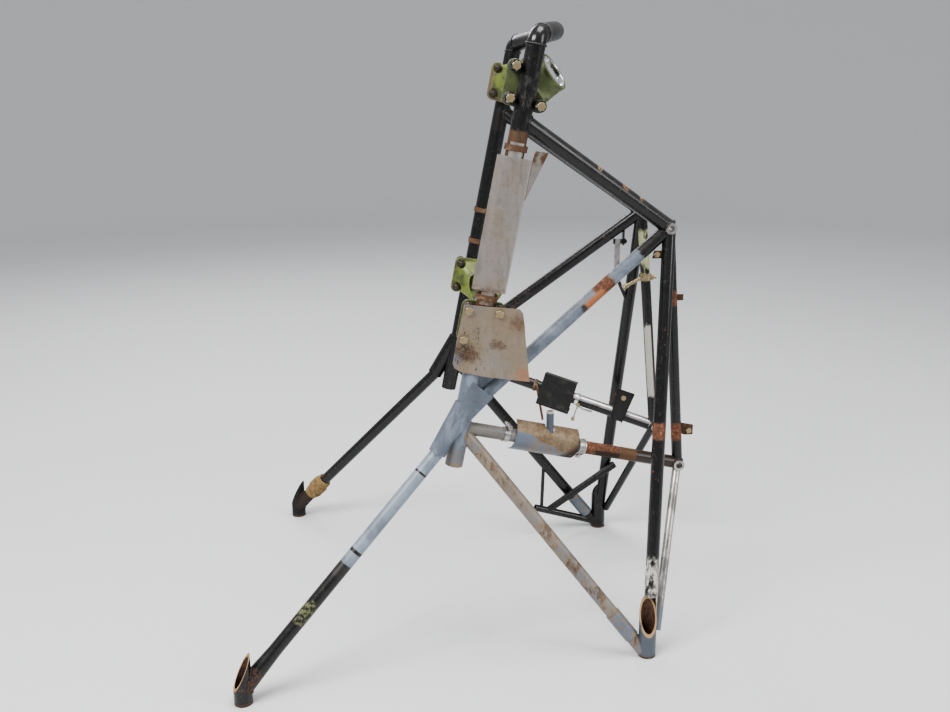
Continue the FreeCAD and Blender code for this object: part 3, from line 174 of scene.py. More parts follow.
class Socket:
    """Output of a node that arithmetic can be written on."""

    def __init__(self, skin, output):
        self.skin = skin
        self.output = output

    def maths(self, operation, first, second=None):
        values = {0: first} if second is None else {0: first, 1: second}
        return self.skin.node("ShaderNodeMath", {"operation": operation}, values)

    def __add__(self, other):
        return self.maths("ADD", self, other)

    __radd__ = __add__

    def __sub__(self, other):
        return self.maths("SUBTRACT", self, other)

    def __rsub__(self, other):
        return self.maths("SUBTRACT", other, self)

    def __mul__(self, other):
        return self.maths("MULTIPLY", self, other)

    __rmul__ = __mul__

    def __abs__(self):
        return self.maths("ABSOLUTE", self)

    def most(self, other):
        return self.maths("MAXIMUM", self, other)

    def above(self, edge, soft):
        """Mask that rises from 0 to 1 across an edge."""
        return self.skin.node("ShaderNodeMapRange", {"interpolation_type": "SMOOTHSTEP"},
                              {"Value": self, "From Min": edge - soft, "From Max": edge + soft})

    def below(self, edge, soft):
        return 1 - self.above(edge, soft)

    def between(self, low, high, soft):
        return self.above(low, soft) * self.below(high, soft)


class Skin:
    """One finish, built up as coats over each other; its distances are millimetres."""

    def __init__(self, name, coat):
        self.material = bpy.data.materials.new(name)
        self.material.use_nodes = True
        self.tree = self.material.node_tree
        self.tree.nodes.clear()
        self.colour, self.rough, self.metal = coat
        self.height = 0.0
        place = self.node("ShaderNodeTexCoord", output="Object")
        self.place = self.vector("SCALE", place, Scale=1 / MM)
        self.normal = self.node("ShaderNodeTexCoord", output="Normal")

    def node(self, kind, settings=None, values=None, output=0):
        made = self.tree.nodes.new(kind)
        for key, value in (settings or {}).items():
            setattr(made, key, value)
        for key, value in (values or {}).items():
            if isinstance(value, Socket):
                self.tree.links.new(value.output, made.inputs[key])
            else:
                made.inputs[key].default_value = value
        return Socket(self, made.outputs[output]) if made.outputs else made

    def vector(self, operation, first, second=None, output=0, **named):
        values = {0: first}
        if second is not None:
            values[1] = second
        values.update(named)
        return self.node("ShaderNodeVectorMath", {"operation": operation}, values, output)

    def mix(self, first, second, share):
        def four(colour):
            return colour if isinstance(colour, Socket) else (*colour, 1)
        values = {0: share, 6: four(first), 7: four(second)}
        return self.node("ShaderNodeMix", {"data_type": "RGBA"}, values, 2)

    def cover(self, mask, coat):
        """Lay a coat over the part of the surface that the mask picks."""
        self.colour = self.mix(self.colour, coat.colour, mask)
        self.rough = mask * (coat.rough - self.rough) + self.rough
        self.metal = mask * (coat.metal - self.metal) + self.metal

    def shade(self, mask, factor):
        """Darken or lighten what is there."""
        if not isinstance(self.colour, Socket):
            self.colour = self.mix(self.colour, self.colour, 0.0)
        self.colour = self.mix(self.colour, self.vector("SCALE", self.colour, Scale=factor), mask)

    def mottle(self, coat, share, grain, edge, soft, shift=0.0,
               detail=5, rough=0.6, upright=1, mask=None):
        """Lay a coat where noise rises above an edge, inside a mask if one is given."""
        speck = self.noise(grain, detail, rough, (1, 1, upright), shift).above(edge, soft)
        self.cover(speck * share if mask is None else mask * speck * share, coat)

    def noise(self, grain, detail=4.0, rough=0.55, stretch=(1, 1, 1), shift=0.0):
        """Noise with features about one grain across."""
        placed = self.vector("MULTIPLY", self.place, stretch)
        placed = self.vector("ADD", placed, (shift, shift * 1.7, shift * 0.6))
        return self.node("ShaderNodeTexNoise", {}, {
            "Vector": placed, "Scale": 1 / grain, "Detail": detail, "Roughness": rough})

    def along(self, start, direction):
        """Distance from a point in a direction."""
        offset = self.vector("SUBTRACT", self.place, start / MM)
        return self.vector("DOT_PRODUCT", offset, direction.normalized(), output=1)

    def to(self, point):
        return self.vector("DISTANCE", self.place, point / MM, output=1)

    def from_line(self, point, direction):
        """Distance from a line."""
        offset = self.vector("SUBTRACT", self.place, point / MM)
        aside = self.vector("CROSS_PRODUCT", offset, direction.normalized())
        return self.vector("LENGTH", aside, output=1)

    def facing(self, direction):
        return self.vector("DOT_PRODUCT", self.normal, direction.normalized(), output=1)

    def patch(self, point, radius, ragged=0.9, shift=0.0, soft=None):
        """Ragged patch about a point."""
        edge = self.noise(radius * 0.6, 5.0, 0.62, shift=shift)
        reach = radius - self.to(point) + (edge - 0.5) * (radius * 2 * ragged)
        return reach.above(0, soft or radius * 0.2)

    def band(self, low, high, ragged=4.0, soft=2.0, shift=0.0):
        """Ragged stretch of a tube between two distances along it."""
        edge = (self.noise(7, 4, 0.6, shift=shift) - 0.5) * (2 * ragged)
        return (self.run + edge).between(low, high, soft)

    def roughen(self, grain, detail, shift, depth, least):
        """Vary the roughness, but not below a least value."""
        change = (self.noise(grain, detail, 0.6, shift=shift) - 0.5) * depth
        self.rough = (self.rough + change).most(least)

    def bump(self, height, depth):
        """Add a height, in millimetres, to the relief."""
        self.height = height * depth + self.height

    def finish(self):
        colour = self.colour if isinstance(self.colour, Socket) else (*self.colour, 1)
        values = {"Base Color": colour, "Roughness": self.rough, "Metallic": self.metal}
        if isinstance(self.height, Socket):
            values["Normal"] = self.node("ShaderNodeBump", {}, {
                "Height": self.height, "Distance": MM, "Strength": 1.0})
        surface = self.node("ShaderNodeBsdfPrincipled", {}, values)
        self.node("ShaderNodeOutputMaterial", {}, {"Surface": surface})
        return self.material


finishes = {}


def finish_of(node, coat, start=None, end=None):
    """Finish of a node, laid on by a function; a tube's run is the distance from its start."""
    def make(lay):
        skin = Skin(node, coat)
        if start is not None:
            skin.run = skin.along(start, end - start)
        lay(skin)
        finishes[node] = skin.finish()
        return lay
    return make


# What age has done to every painted or bare surface

def weather(skin, rust=0.3, dust=0.4, seed=0.0, chip=STEEL_DARK):
    """Stains, dust that lies on upward faces, scratches, chips and small rust spots."""
    cloud = skin.noise(38, 3, 0.5, shift=seed)
    skin.shade(cloud.above(0.56, 0.14) * 0.5, 0.7)
    ragged = (skin.noise(12, 5, 0.65, shift=seed + 5) - 0.5) * 1.6
    lie = (skin.facing(Z_AXIS) + ragged).above(0.45, 0.5)
    skin.cover(lie * dust * skin.noise(30, 3, 0.6, shift=seed + 8), DUST)
    grime = skin.noise(9, 6, 0.65, shift=seed + 11)
    skin.cover(grime.above(0.64, 0.07) * 0.35, DIRT)
    scratch = skin.noise(2.4, 3, 0.5, stretch=(1, 1, 0.14), shift=seed + 23)
    skin.cover(scratch.above(0.73, 0.03) * 0.45, chip)
    spots = skin.noise(5.5, 5, 0.7, shift=seed + 31)
    places = skin.noise(60, 2, 0.5, shift=seed + 47)
    rusty = (spots + (places - 0.5) * 0.5).above(0.80 - 0.22 * rust, 0.025)
    skin.cover(rusty, RUST_BROWN)
    skin.mottle(RUST_RED, 1, 1.6, 0.55, 0.1, seed, detail=2, rough=0.5, mask=rusty)
    skin.roughen(16, 5, seed + 3, 0.26, 0.08)
    skin.bump(skin.noise(1.3, 3, 0.6, shift=seed), 0.03)
    skin.bump(rusty, 0.1)


def rust_patch(skin, low, high, shift=0.0, ragged=5.0):
    """Stretch of a tube where heat and rust have taken the paint."""
    patch = skin.band(low, high, ragged, 3, shift)
    skin.cover(patch, RUST_RED)
    speck = skin.noise(3.5, 5, 0.7, shift=shift + 2)
    skin.cover(patch * speck.above(0.52, 0.05), RUST_BROWN)
    skin.cover(patch * speck.below(0.40, 0.04), RUST_ORANGE)
    skin.bump(patch * speck, 0.25)


@finish_of("bed_rail_right", BLACK, RAIL_FOOT, RAIL_TOP)
def near_rail(skin):
    foot = skin.band(-20, 150, 5, 2, 12)
    skin.cover(foot, BLUE_GREY)
    skin.mottle(PALE_BLUE, 0.6, 16, 0.52, 0.1, 9, upright=0.5, mask=foot)
    skin.mottle(WARM_GREY, 0.8, 12, 0.4, 0.12, 4, detail=4, mask=foot * skin.run.below(26, 12))
    weather(skin, 0.25, 0.16, 1.0)
    skin.cover(skin.band(222, 262, 3, 2, 4) * 0.85, HEAT_BROWN)
    skin.cover(skin.band(432, 470, 3, 2, 5) * 0.8, HEAT_BROWN)
    skin.cover(skin.band(-5, 5, 3, 2, 6) * 0.7, HEAT_TAN)
    worn = skin.noise(7, 6, 0.7, stretch=(1, 1, 0.5), shift=3) + skin.band(470, 560, 20, 30) * 0.07
    skin.cover(worn.above(0.63, 0.03) * 0.7, BLACK_WORN)


@finish_of("bed_rail_left", BLACK, far(RAIL_FOOT), far(RAIL_TOP))
def far_rail(skin):
    weather(skin, 0.3, 0.1, 40.0)
    skin.cover(skin.band(452, 485, 2, 1, 4) * 0.7, GREASE)


@finish_of("front_bow", BLACK_SATIN)
def bow_black(skin):
    elbow = skin.to(RAIL_TOP).below(27, 3).most(skin.to(far(RAIL_TOP)).below(27, 3))
    skin.cover(elbow, BLACK)
    weather(skin, 0.3, 0.05, 71.0)


@finish_of("upper_leg_right", BLACK, LEG_ROOT, LEG_JOINT)
def near_leg(skin):
    skin.cover(skin.run.above(217, 0.8), PALE_BLUE)
    stain = skin.noise(26, 5, 0.6, stretch=(1, 1, 0.6), shift=9).above(0.55, 0.08)
    skin.cover(stain * skin.run.above(217, 2) * 0.6, BLUE_GREY)
    skin.mottle(OLIVE, 1, 6, 0.5, 0.04, 2, rough=0.7, mask=skin.band(114, 150, 6, 2, 8))
    skin.cover(skin.run.between(236, 241, 0.7) + skin.run.between(376.5, 379.5, 0.6), GREASE)
    skin.cover(skin.band(196, 217, 8, 5, 5) * 0.5, BLACK_WORN)
    weather(skin, 0.25, 0.12, 13.0, BLACK_WORN)
    skin.mottle(RUST_BROWN, 1, 4, 0.5, 0.05, rough=0.7, mask=skin.band(0, 34, 9, 4, 3))


@finish_of("upper_leg_left", BLACK, far(LEG_ROOT), far(LEG_JOINT))
def far_leg(skin):
    weather(skin, 0.45, 0.1, 17.0)
    skin.mottle(RUST_DARK, 1, 6, 0.46, 0.05, rough=0.7, mask=skin.band(0, 60, 14, 5, 3))


def grey_paint(name, seed):
    """Blue-grey brushed paint of the near corner."""
    skin = Skin(name, BLUE_GREY)
    skin.mottle(SLATE, 0.5, 34, 0.5, 0.12, seed, detail=4, rough=0.55)
    skin.mottle(PALE_BLUE, 0.5, 24, 0.56, 0.07, seed + 3, upright=0.5)
    skin.bump(skin.noise(2.2, 2, 0.5, stretch=(1, 1, 0.2), shift=seed), 0.02)
    weather(skin, 0.15, 0.35, seed, BLACK_WORN)
    return skin.finish()


@finish_of("top_diagonal_right", BLACK, TOP_JOINT, UPPER_PIVOT)
def near_top_diagonal(skin):
    weather(skin, 0.3, 0.2, 23.0)
    above = skin.facing(Z_AXIS).above(0.35, 0.3)
    for distance, reach, coat in ((133, 4, RUST_TAN), (184, 5, RUST_ORANGE), (215, 3, RUST_TAN)):
        speck = skin.noise(3.2, 5, 0.7, shift=distance).above(0.48, 0.06)
        stretch = skin.band(distance - reach, distance + reach, 5, 2, distance)
        skin.cover(stretch * above * speck * 0.8, coat)
    skin.cover(skin.run.between(176, 177.5, 0.5), BLACK_WORN)


@finish_of("mid_diagonal_right", BLUE_GREY, MID_JOINT, UPPER_PIVOT)
def near_mid_diagonal(skin):
    skin.mottle(PALE_BLUE, 0.5, 18, 0.52, 0.1, 5)
    skin.cover(skin.band(338, 420, 7, 2, 9), BLACK)
    weather(skin, 0.3, 0.4, 29.0, BLACK_WORN)
    rust_patch(skin, 252, 283, 3, 7)
    below = skin.facing(at(0.55, -0.35, -0.75)).above(0.05, 0.25)
    skin.cover(skin.band(226, 262, 6, 3, 5) * below, RUST_ORANGE)
    skin.cover(skin.band(221, 229, 4, 2, 6) * below * 0.9, BLACK)


@finish_of("gear_post_right", BLACK, POST_AIM, UPPER_PIVOT)
def near_post(skin):
    weather(skin, 0.35, 0.1, 31.0)
    bare = skin.band(40, 92, 12, 5, 3)
    skin.cover(bare * 0.8, PRIMER_WHITE)
    skin.mottle(STEEL, 1, 9, 0.55, 0.05, 7, upright=0.4, mask=bare)
    worn = skin.band(82, 146, 10, 5, 11)
    chips = skin.noise(8, 5, 0.65, stretch=(1, 1, 0.5), shift=12)
    skin.cover(worn * chips.below(0.52, 0.04), PRIMER_WHITE)
    skin.cover(worn * chips.between(0.5, 0.56, 0.02), STEEL_DARK)
    rust_patch(skin, 321, 343, 5, 4)


@finish_of("gear_front_tube_right", BLACK, LOWER_PIVOT, UPPER_PIVOT)
def near_front_tube(skin):
    weather(skin, 0.4, 0.1, 37.0)
    rust_patch(skin, 251, 272, 6, 3)
    rust_patch(skin, 40, 66, 8, 5)


@finish_of("gear_front_tube_left", BLACK, far(LOWER_PIVOT), far(UPPER_PIVOT))
def far_front_tube(skin):
    weather(skin, 0.35, 0.1, 41.0)
    bare = skin.band(252, 334, 8, 4, 3)
    skin.mottle(PRIMER_GREEN, 1, 14, 0.4, 0.06, upright=0.4, mask=bare)
    # Primer-white strip on the faces turned toward the front is a painted highlight on the black
    # tube.
    front_highlight = skin.facing(at(-0.4, -1, 0)).above(0.72, 0.08) * skin.band(54, 176, 10, 4)
    skin.cover(front_highlight * 0.8, PRIMER_WHITE)


@finish_of("lower_rail_right", SLATE, LOWER_JOINT, LOWER_PIVOT)
def near_lower_rail(skin):
    skin.mottle(BLUE_GREY, 0.5, 16, 0.5, 0.12, 2)
    skin.mottle(WARM_GREY, 0.8, 22, 0.36, 0.12, 6, mask=skin.run.below(84, 12))
    weather(skin, 0.4, 0.2, 43.0, BLACK_WORN)
    rust_patch(skin, 186, 256, 4, 6)
    # The rust is real; its darker colour on the downward faces is painted shade under the rail.
    skin.cover(skin.band(214, 256, 6, 3, 9) * skin.facing(Z_AXIS).below(0.1, 0.2), RUST_DARK)
    skin.cover(skin.run.above(256, 1.5), HEAT_BROWN)
    skin.cover(skin.run.above(284, 1.5) * 0.8, BLACK)


@finish_of("lower_rail_left", BLACK, far(LOWER_JOINT), far(LOWER_PIVOT))
def far_lower_rail(skin):
    weather(skin, 0.3, 0.1, 47.0)
    # Bright steel colour on the up-facing top of the rail is a painted highlight of its lit top
    # edge.
    top_highlight = skin.facing(at(0, -0.35, 1)).above(0.62, 0.14) * skin.band(206, 368, 10, 8)
    skin.cover(top_highlight * skin.noise(14, 4, 0.5, stretch=(0.4, 1, 1)).above(0.36, 0.08), STEEL)


@finish_of("lower_diagonal_right", WARM_GREY, LOWER_WALL, DIAGONAL_JOINT)
def near_lower_diagonal(skin):
    skin.mottle(BLUE_GREY, 0.6, 30, 0.5, 0.1, 3, detail=4, rough=0.55)
    streaks = skin.noise(9, 6, 0.68, stretch=(1, 1, 0.45), shift=5)
    skin.cover(streaks.above(0.50, 0.10) * 0.75, HEAT_TAN)
    skin.mottle(RUST_BROWN, 0.7, 70, 0.42, 0.1, 4, detail=2, rough=0.5,
                mask=streaks.above(0.6, 0.07))
    skin.mottle(RUST_ORANGE, 0.6, 6, 0.63, 0.03, 15, rough=0.7)
    for low, high in ((112, 140), (170, 186), (236, 252)):
        skin.cover(skin.band(low, high, 14, 8, low) * streaks.above(0.50, 0.06) * 0.7, RUST_BROWN)
    weather(skin, 0.4, 0.3, 53.0, BLACK_WORN)


@finish_of("gear_rear_tube_right", STEEL, REAR_FOOT, LOWER_PIVOT)
def near_rear_tube(skin):
    skin.mottle(STEEL_DARK, 0.8, 22, 0.5, 0.06, 2, upright=0.4)
    skin.cover(skin.run.below(20, 8) * 0.8, BLUE_GREY)
    weather(skin, 0.3, 0.3, 59.0, BLACK_WORN)


def mottled(name, base, blotches, *ageing):
    """Base coat with blotches, each the values of Skin.mottle, and the weather over them."""
    skin = Skin(name, base)
    for blotch in blotches:
        skin.mottle(*blotch)
    weather(skin, *ageing)
    return skin.finish()


def old_black(name, seed, rust=0.35):
    """Black paint of the hidden tubes and small brackets."""
    return mottled(name, BLACK, (), rust, 0.1, seed)


def wall_fitting(name, foot, coat, rim, seed, rust):
    """Fitting whose spanner opening has a bare rim and a rusty inside."""
    skin = Skin(name, coat)
    weather(skin, rust, 0.4, seed)
    inside = skin.from_line(foot, Z_AXIS).below(11.2, 0.25)
    skin.cover(inside, RUST_DARK)
    skin.mottle(RUST_BROWN, 1, 7, 0.48, 0.06, seed, rough=0.7, mask=inside)
    slope = abs(skin.facing(X_AXIS)) + abs(skin.facing(Y_AXIS))
    wall = skin.from_line(foot, Z_AXIS).between(10.4, 13.2, 0.1)
    cut = wall * skin.facing(Z_AXIS).above(0.12, 0.05)
    skin.mottle(rim, 1, 8, 0.36, 0.06, seed, detail=4, mask=cut * slope.above(0.2, 0.1))
    skin.mottle(RUST_BROWN, 1, 5, 0.42, 0.05, rough=0.7,
                mask=skin.along(foot, Z_AXIS).below(3.5, 2))
    return skin.finish()


def bare_steel(name, coat, seed, rust=0.2):
    blotch = (STEEL_DARK, 0.6, 8, 0.54, 0.06, seed, 4)
    return mottled(name, coat, (blotch,), rust, 0.25, seed, STEEL_DARK)


def gold_plate(name, seed, dirt=0.5):
    """Yellow passivated fastener with patches of dirt."""
    skin = Skin(name, GOLD)
    skin.mottle(GOLD_DULL, dirt, 2.6, 0.56, 0.07, seed, rough=0.65)
    skin.mottle(DIRT, dirt, 5.5, 0.6, 0.05, seed + 4, detail=4)
    skin.cover(skin.along(Vector((0, 0, 0)), Y_AXIS).above(150, 2) * 0.9, GREASE)
    skin.roughen(3, 4, seed, 0.3, 0.1)
    skin.bump(skin.noise(0.7, 2, 0.5), 0.015)
    return skin.finish()


def heat_shield(skin, seed):
    """Stainless sheet, pinkish grey from heat, with runs and stains."""
    skin.mottle(HEAT_PINK, 0.6, 60, 0.5, 0.16, seed, detail=3, rough=0.5)
    skin.mottle(HEAT_TAN, 0.5, 34, 0.56, 0.1, seed + 3, detail=4)
    runs = skin.noise(6, 5, 0.6, stretch=(1, 1, 0.12), shift=seed + 7)
    skin.cover(runs.above(0.58, 0.08) * 0.35, STEEL_DARK)
    skin.cover(runs.below(0.40, 0.06) * 0.35, HEAT_PINK)


def age_sheet(skin, seed):
    """Brushed grain, dents and fine dirt of a worn sheet."""
    skin.shade(skin.noise(7, 6, 0.7, shift=seed).above(0.56, 0.08) * 0.4, 0.72)
    grain = skin.noise(1.1, 2, 0.6, stretch=(1, 1, 0.05), shift=seed)
    skin.shade(grain.above(0.5, 0.2) * 0.25, 0.8)
    skin.roughen(11, 5, seed + 2, 0.3, 0.12)
    skin.bump(skin.noise(45, 2, 0.4, shift=seed), 1.1)
    skin.bump(skin.noise(10, 3, 0.5, shift=seed + 5), 0.08)
    skin.bump(skin.noise(0.8, 2, 0.6, stretch=(1, 1, 0.08), shift=seed), 0.012)


@finish_of("rail_shield", SHIELD_STEEL)
def rail_shield_finish(skin):
    heat_shield(skin, 3.0)
    height = skin.along(RAIL_FOOT, RAIL_DIR)
    side = skin.along(RAIL_FOOT, RAIL_OUT)
    flank = (side + skin.noise(20, 3, 0.5) * 8).between(-16, -8, 3)
    skin.cover(height.between(330, 430, 25) * flank * 0.5, HEAT_PINK)
    skin.mottle(HEAT_BROWN, 0.7, 9, 0.48, 0.07, rough=0.7, mask=height.below(262, 4))
    skin.cover(side.above(21.3, 0.5) * 0.5, STEEL)
    skin.cover(height.above(434, 2) * side.between(-11, 9, 3) * 0.7, STEEL)
    age_sheet(skin, 5.0)


@finish_of("aft_shield_plate", SHIELD_STEEL)
def aft_plate_finish(skin):
    """Heat shield at the rail's foot, with the stains of the fluids that ran down it."""
    heat_shield(skin, 21.0)
    skin.mottle(HEAT_TAN, 0.7, 50, 0.36, 0.18, 2, detail=3, rough=0.5)
    spots = ((-13, -30, 20, HEAT_TAN, 0.8), (-20, -36, 13, RUST_DARK, 0.9),
             (-6, -40, 10, RUST_BROWN, 0.9), (22, -19, 7, RUST_BROWN, 0.8),
             (32, -20, 6, RUST_BROWN, 0.8), (48, 14, 11, HEAT_BROWN, 0.8),
             (58, 30, 8, HEAT_BLUE, 0.8), (38, 2, 9, HEAT_TAN, 0.6),
             (70, -56, 12, RUST_ORANGE, 0.7), (-28, -52, 9, HEAT_BLUE, 0.6),
             (-18, 34, 15, HEAT_BLUE, 0.5), (10, -60, 12, HEAT_PINK, 0.6))
    for index, (x, z, radius, coat, share) in enumerate(spots):
        place = rail_point(AFT_STATION + z, x, -14)
        blotch = skin.patch(place, radius, 1.1, index * 5.0, radius * 0.6)
        mottle = skin.noise(3.5, 6, 0.75, shift=index * 3.0).above(0.46, 0.12) * 0.6 + 0.4
        skin.cover(blotch * mottle * share, coat)
    wet = skin.patch(rail_point(AFT_STATION - 34, -8, -14), 34, 0.5, 9.0, 8)
    skin.mottle(RUST_DARK, 0.9, 3.2, 0.6, 0.03, 6, rough=0.7, upright=0.3, mask=wet)
    age_sheet(skin, 27.0)


@finish_of("shield_wing", SHIELD_STEEL)
def wing_finish(skin):
    heat_shield(skin, 31.0)
    skin.mottle(HEAT_BROWN, 1, 12, 0.45, 0.1, detail=4,
                mask=skin.along(RAIL_FOOT, RAIL_DIR).above(432, 6))
    age_sheet(skin, 33.0)


@finish_of("wrap_shield", SHIELD_STEEL)
def wrap_finish(skin):
    """Shield of the lower rail: tan above, blue-grey below, with a sharp border."""
    heat_shield(skin, 43.0)
    run = skin.along(LOWER_JOINT, LOWER_DIR)
    up = skin.along(LOWER_JOINT, LOWER_UP)
    edge = (skin.noise(16, 4, 0.6, shift=3) - 0.5) * 14
    upper = (up + edge - (132 - run) * 0.28).above(-1, 1.6)
    grain = skin.noise(4.5, 6, 0.75, shift=4)
    skin.cover(upper.below(0.5, 0.5), BLUE_GREY)
    lower = (1 - upper) * (run - up * 0.7).above(112, 10)
    skin.cover(lower * 0.75, HEAT_BLUE)
    skin.mottle(HEAT_TAN, 0.6, 14, 0.5, 0.07, 8, rough=0.65, mask=lower)
    skin.cover(upper, HEAT_TAN)
    skin.mottle(HEAT_BROWN, 0.55, 17, 0.5, 0.1, 5, mask=upper)
    skin.cover(upper * grain.above(0.56, 0.06) * 0.4, RUST_BROWN)
    skin.cover(upper * grain.below(0.42, 0.05) * 0.5, RUST_TAN)
    skin.cover((run - up * 0.8).above(178, 9) * grain.above(0.36, 0.1), RUST_DARK)
    age_sheet(skin, 47.0)


@finish_of("stub_tube", SLATE)
def stub_finish(skin):
    """Dark short tube: bluish at its foot, pale at its rim."""
    skin.cover(skin.along(at(0, 0, 322), Z_AXIS).below(0, 7) * 0.8, BLUE_GREY)
    skin.cover(skin.along(at(0, 0, 350.5), Z_AXIS).above(0, 0.8), PRIMER_WHITE)
    weather(skin, 0.3, 0.2, 29.0)


def heated_clamp(name, seed, coat=HEAT_BROWN):
    blotches = ((RUST_BROWN, 0.8, 6, 0.52, 0.06, seed, 5, 0.7),
                (HEAT_TAN, 0.7, 9, 0.6, 0.06, seed + 3, 4))
    return mottled(name, coat, blotches, 0.3, 0.3, seed, STEEL_DARK)


def pivot_housing(name, coat, seed, rust):
    blotch = (BLACK, 0.7, 6, 0.55, 0.06, seed, 5, 0.65)
    return mottled(name, coat, (blotch,), rust, 0.3, seed, STEEL)


# How much tan lies on the flange of the left front casting and of the left aft one
FLANGE_TAN_SHARE = {1: 0.85, -1: 0.15}


def casting(name, station, up, hand, bright, seed):
    """Green chromated casting with a machined bore; the left ones have a tan flange."""
    skin = Skin(name, CHROMATE)
    skin.mottle(bright, 0.7, 22, 0.5, 0.1, seed, detail=4)
    skin.mottle(CHROMATE_DARK, 0.6, 8, 0.6, 0.05, seed + 4, rough=0.7)
    skin.mottle(CHROMATE_PALE, 0.7, 5, 0.68, 0.03, seed + 9, detail=4)
    weather(skin, 0.1, 0.5, seed, CHROMATE_PALE)
    if hand is far:
        flange = abs(skin.along(hand(rail_point(station, 0, FLANGE_MID)), Y_AXIS)).below(4, 1)
        flange = flange * skin.facing(Z_AXIS).below(0.3, 0.2)
        share = FLANGE_TAN_SHARE[up]
        skin.mottle(CAST_TAN, share, 15, 0.36, 0.1, seed + 2, detail=4, mask=flange)
    centre, axis = (hand(vector) for vector in ring_place(station, up))
    bore = skin.from_line(centre, axis).below(22.4, 0.2)
    bore = bore * abs(skin.along(centre, axis)).below(4.5, 0.3)
    skin.cover(bore, MACHINED)
    skin.mottle(STEEL_DARK, 0.6, 6, 0.62, 0.05, seed, detail=4, upright=0.5, mask=bore)
    skin.roughen(4, 4, seed, 0.15, 0.1)
    skin.bump(skin.noise(1.7, 3, 0.6, shift=seed) * (1 - bore), 0.12)
    return skin.finish()


@finish_of("foot_lashing", TWINE)
def twine_finish(skin):
    skin.shade(skin.noise(1.2, 4, 0.7).above(0.5, 0.15), 0.45)
    skin.mottle(DIRT, 0.7, 4, 0.6, 0.06, 3, detail=4)
    skin.bump(skin.noise(0.5, 3, 0.7, stretch=(1, 1, 0.3)), 0.12)


SIMPLE_FINISHES = (
    (grey_paint, (("leg_sleeve_right", 3), ("gusset_right", 19))),
    (old_black, (("leg_sleeve_left", 7), ("gusset_left", 8), ("top_diagonal_left", 9),
                 ("mid_diagonal_left", 10, 0.5), ("gear_post_left", 11, 0.4),
                 ("lower_diagonal_left", 12), ("gear_rear_tube_left", 14),
                 ("hanging_bracket", 15, 0.3), ("brace_rail", 16), ("brace_diagonal", 17),
                 ("brace_strut", 18), ("lever_mount", 19))),
    (wall_fitting, (("upper_fitting_right", UPPER_WALL, BLACK, RUST_TAN, 3, 0.8),
                    ("upper_fitting_left", far(UPPER_WALL), SOOT, RUST_BROWN, 5, 0.6),
                    ("lower_fitting_right", LOWER_WALL, SLATE, RUST_TAN, 7, 0.5),
                    ("lower_fitting_left", far(LOWER_WALL), BLACK, RUST_BROWN, 9, 0.5))),
    (bare_steel, (("bolt_seat_rings", BRASS, 3, 0.4), ("pivot_bushes", STEEL, 6, 0.3),
                  ("lower_rail_clamps", STEEL, 8, 0.15), ("door_lever", STEEL, 4, 0.2),
                  ("ring_seats", MACHINED, 17, 0.05))),
    (pivot_housing, (("upper_pivot_housing_right", STEEL, 3, 0.3),
                     ("upper_pivot_housing_left", STEEL_DARK, 5, 0.4),
                     ("lower_pivot_housing_right", RUST_BROWN, 7, 0.8),
                     ("lower_pivot_housing_left", BLACK, 9, 0.5))),
    (gold_plate, (("bracket_bolts", 2), ("bracket_nuts", 5, 0.9), ("tab_bolts", 9, 0.8),
                  ("link_clamp", 12, 0.9), ("link_rod", 14, 0.7))),
    (heated_clamp, (("rail_bands", 3), ("gear_tabs", 9, RUST_BROWN))),
    (mottled, (("diagonal_sleeves", BLUE_GREY, ((HEAT_TAN, 0.8, 11, 0.52, 0.06, 6, 5, 0.65),),
                0.3, 0.3, 57.0, BLACK_WORN),
               ("scoop_shield", SOOT, ((BLACK_WORN, 0.6, 14, 0.58, 0.06, 5),), 0.2, 0.3, 5),
               ("bracket_bosses", BLACK, ((PRIMER_WHITE, 1, 5, 0.6, 0.04, 4, 5, 0.7),),
                0.3, 0.3, 61.0))),
)
for finish, rows in SIMPLE_FINISHES:
    for row in rows:
        finishes[row[0]] = finish(*row)
for (level, station, up), seeds in zip(BRACKETS, ((3, 13), (23, 33))):
    for (side, hand), bright, seed in zip(HANDS, (CHROMATE_PALE, CHROMATE_BRIGHT), seeds):
        node = "isolator_bracket_%s_%s" % (level, side)
        finishes[node] = casting(node, station, up, hand, bright, seed)

for name, node in frame["nodes"].items():
    slots = node.data.materials
    slots.clear()
    slots.append(finishes[name])


# Pieces of the scene

BOW_REACH = at(38, 0, 9.5)
BOW_OUT = BOW_REACH.normalized()
BOW_RADIUS = (RAIL_TOP.y ** 2 + BOW_REACH.length_squared) / (2 * BOW_REACH.length)
BOW_HALF = math.asin(-RAIL_TOP.y / BOW_RADIUS)
BOW_TANGENT = BOW_OUT * math.sin(BOW_HALF) + Y_AXIS * math.cos(BOW_HALF)
ELBOW_TURN = RAIL_DIR.angle(BOW_TANGENT)
ELBOW_BEND = 14.5 * MM
ELBOW_SETBACK = ELBOW_BEND * math.tan(ELBOW_TURN / 2)
SOLID_BEND = 25 * MM
SOLID_SETBACK = SOLID_BEND * math.tan(ELBOW_TURN / 2)
RAIL_END = RAIL_TOP - RAIL_DIR * ELBOW_SETBACK
BOW_START = RAIL_TOP + BOW_TANGENT * ELBOW_SETBACK
WELD_GAP = 0.1 * MM

# A ripple is the share by which a strand swells, and the pitch of its swellings
NO_RIPPLE = (0.0, 1.0)
WELD_RIPPLE = (0.13, 2.1 * MM)
TWINE_PITCH = 1.5 * MM
SEAM_STEPS = 132
SEAM_SIZE = 1.7
SEAM_SHARP = 80

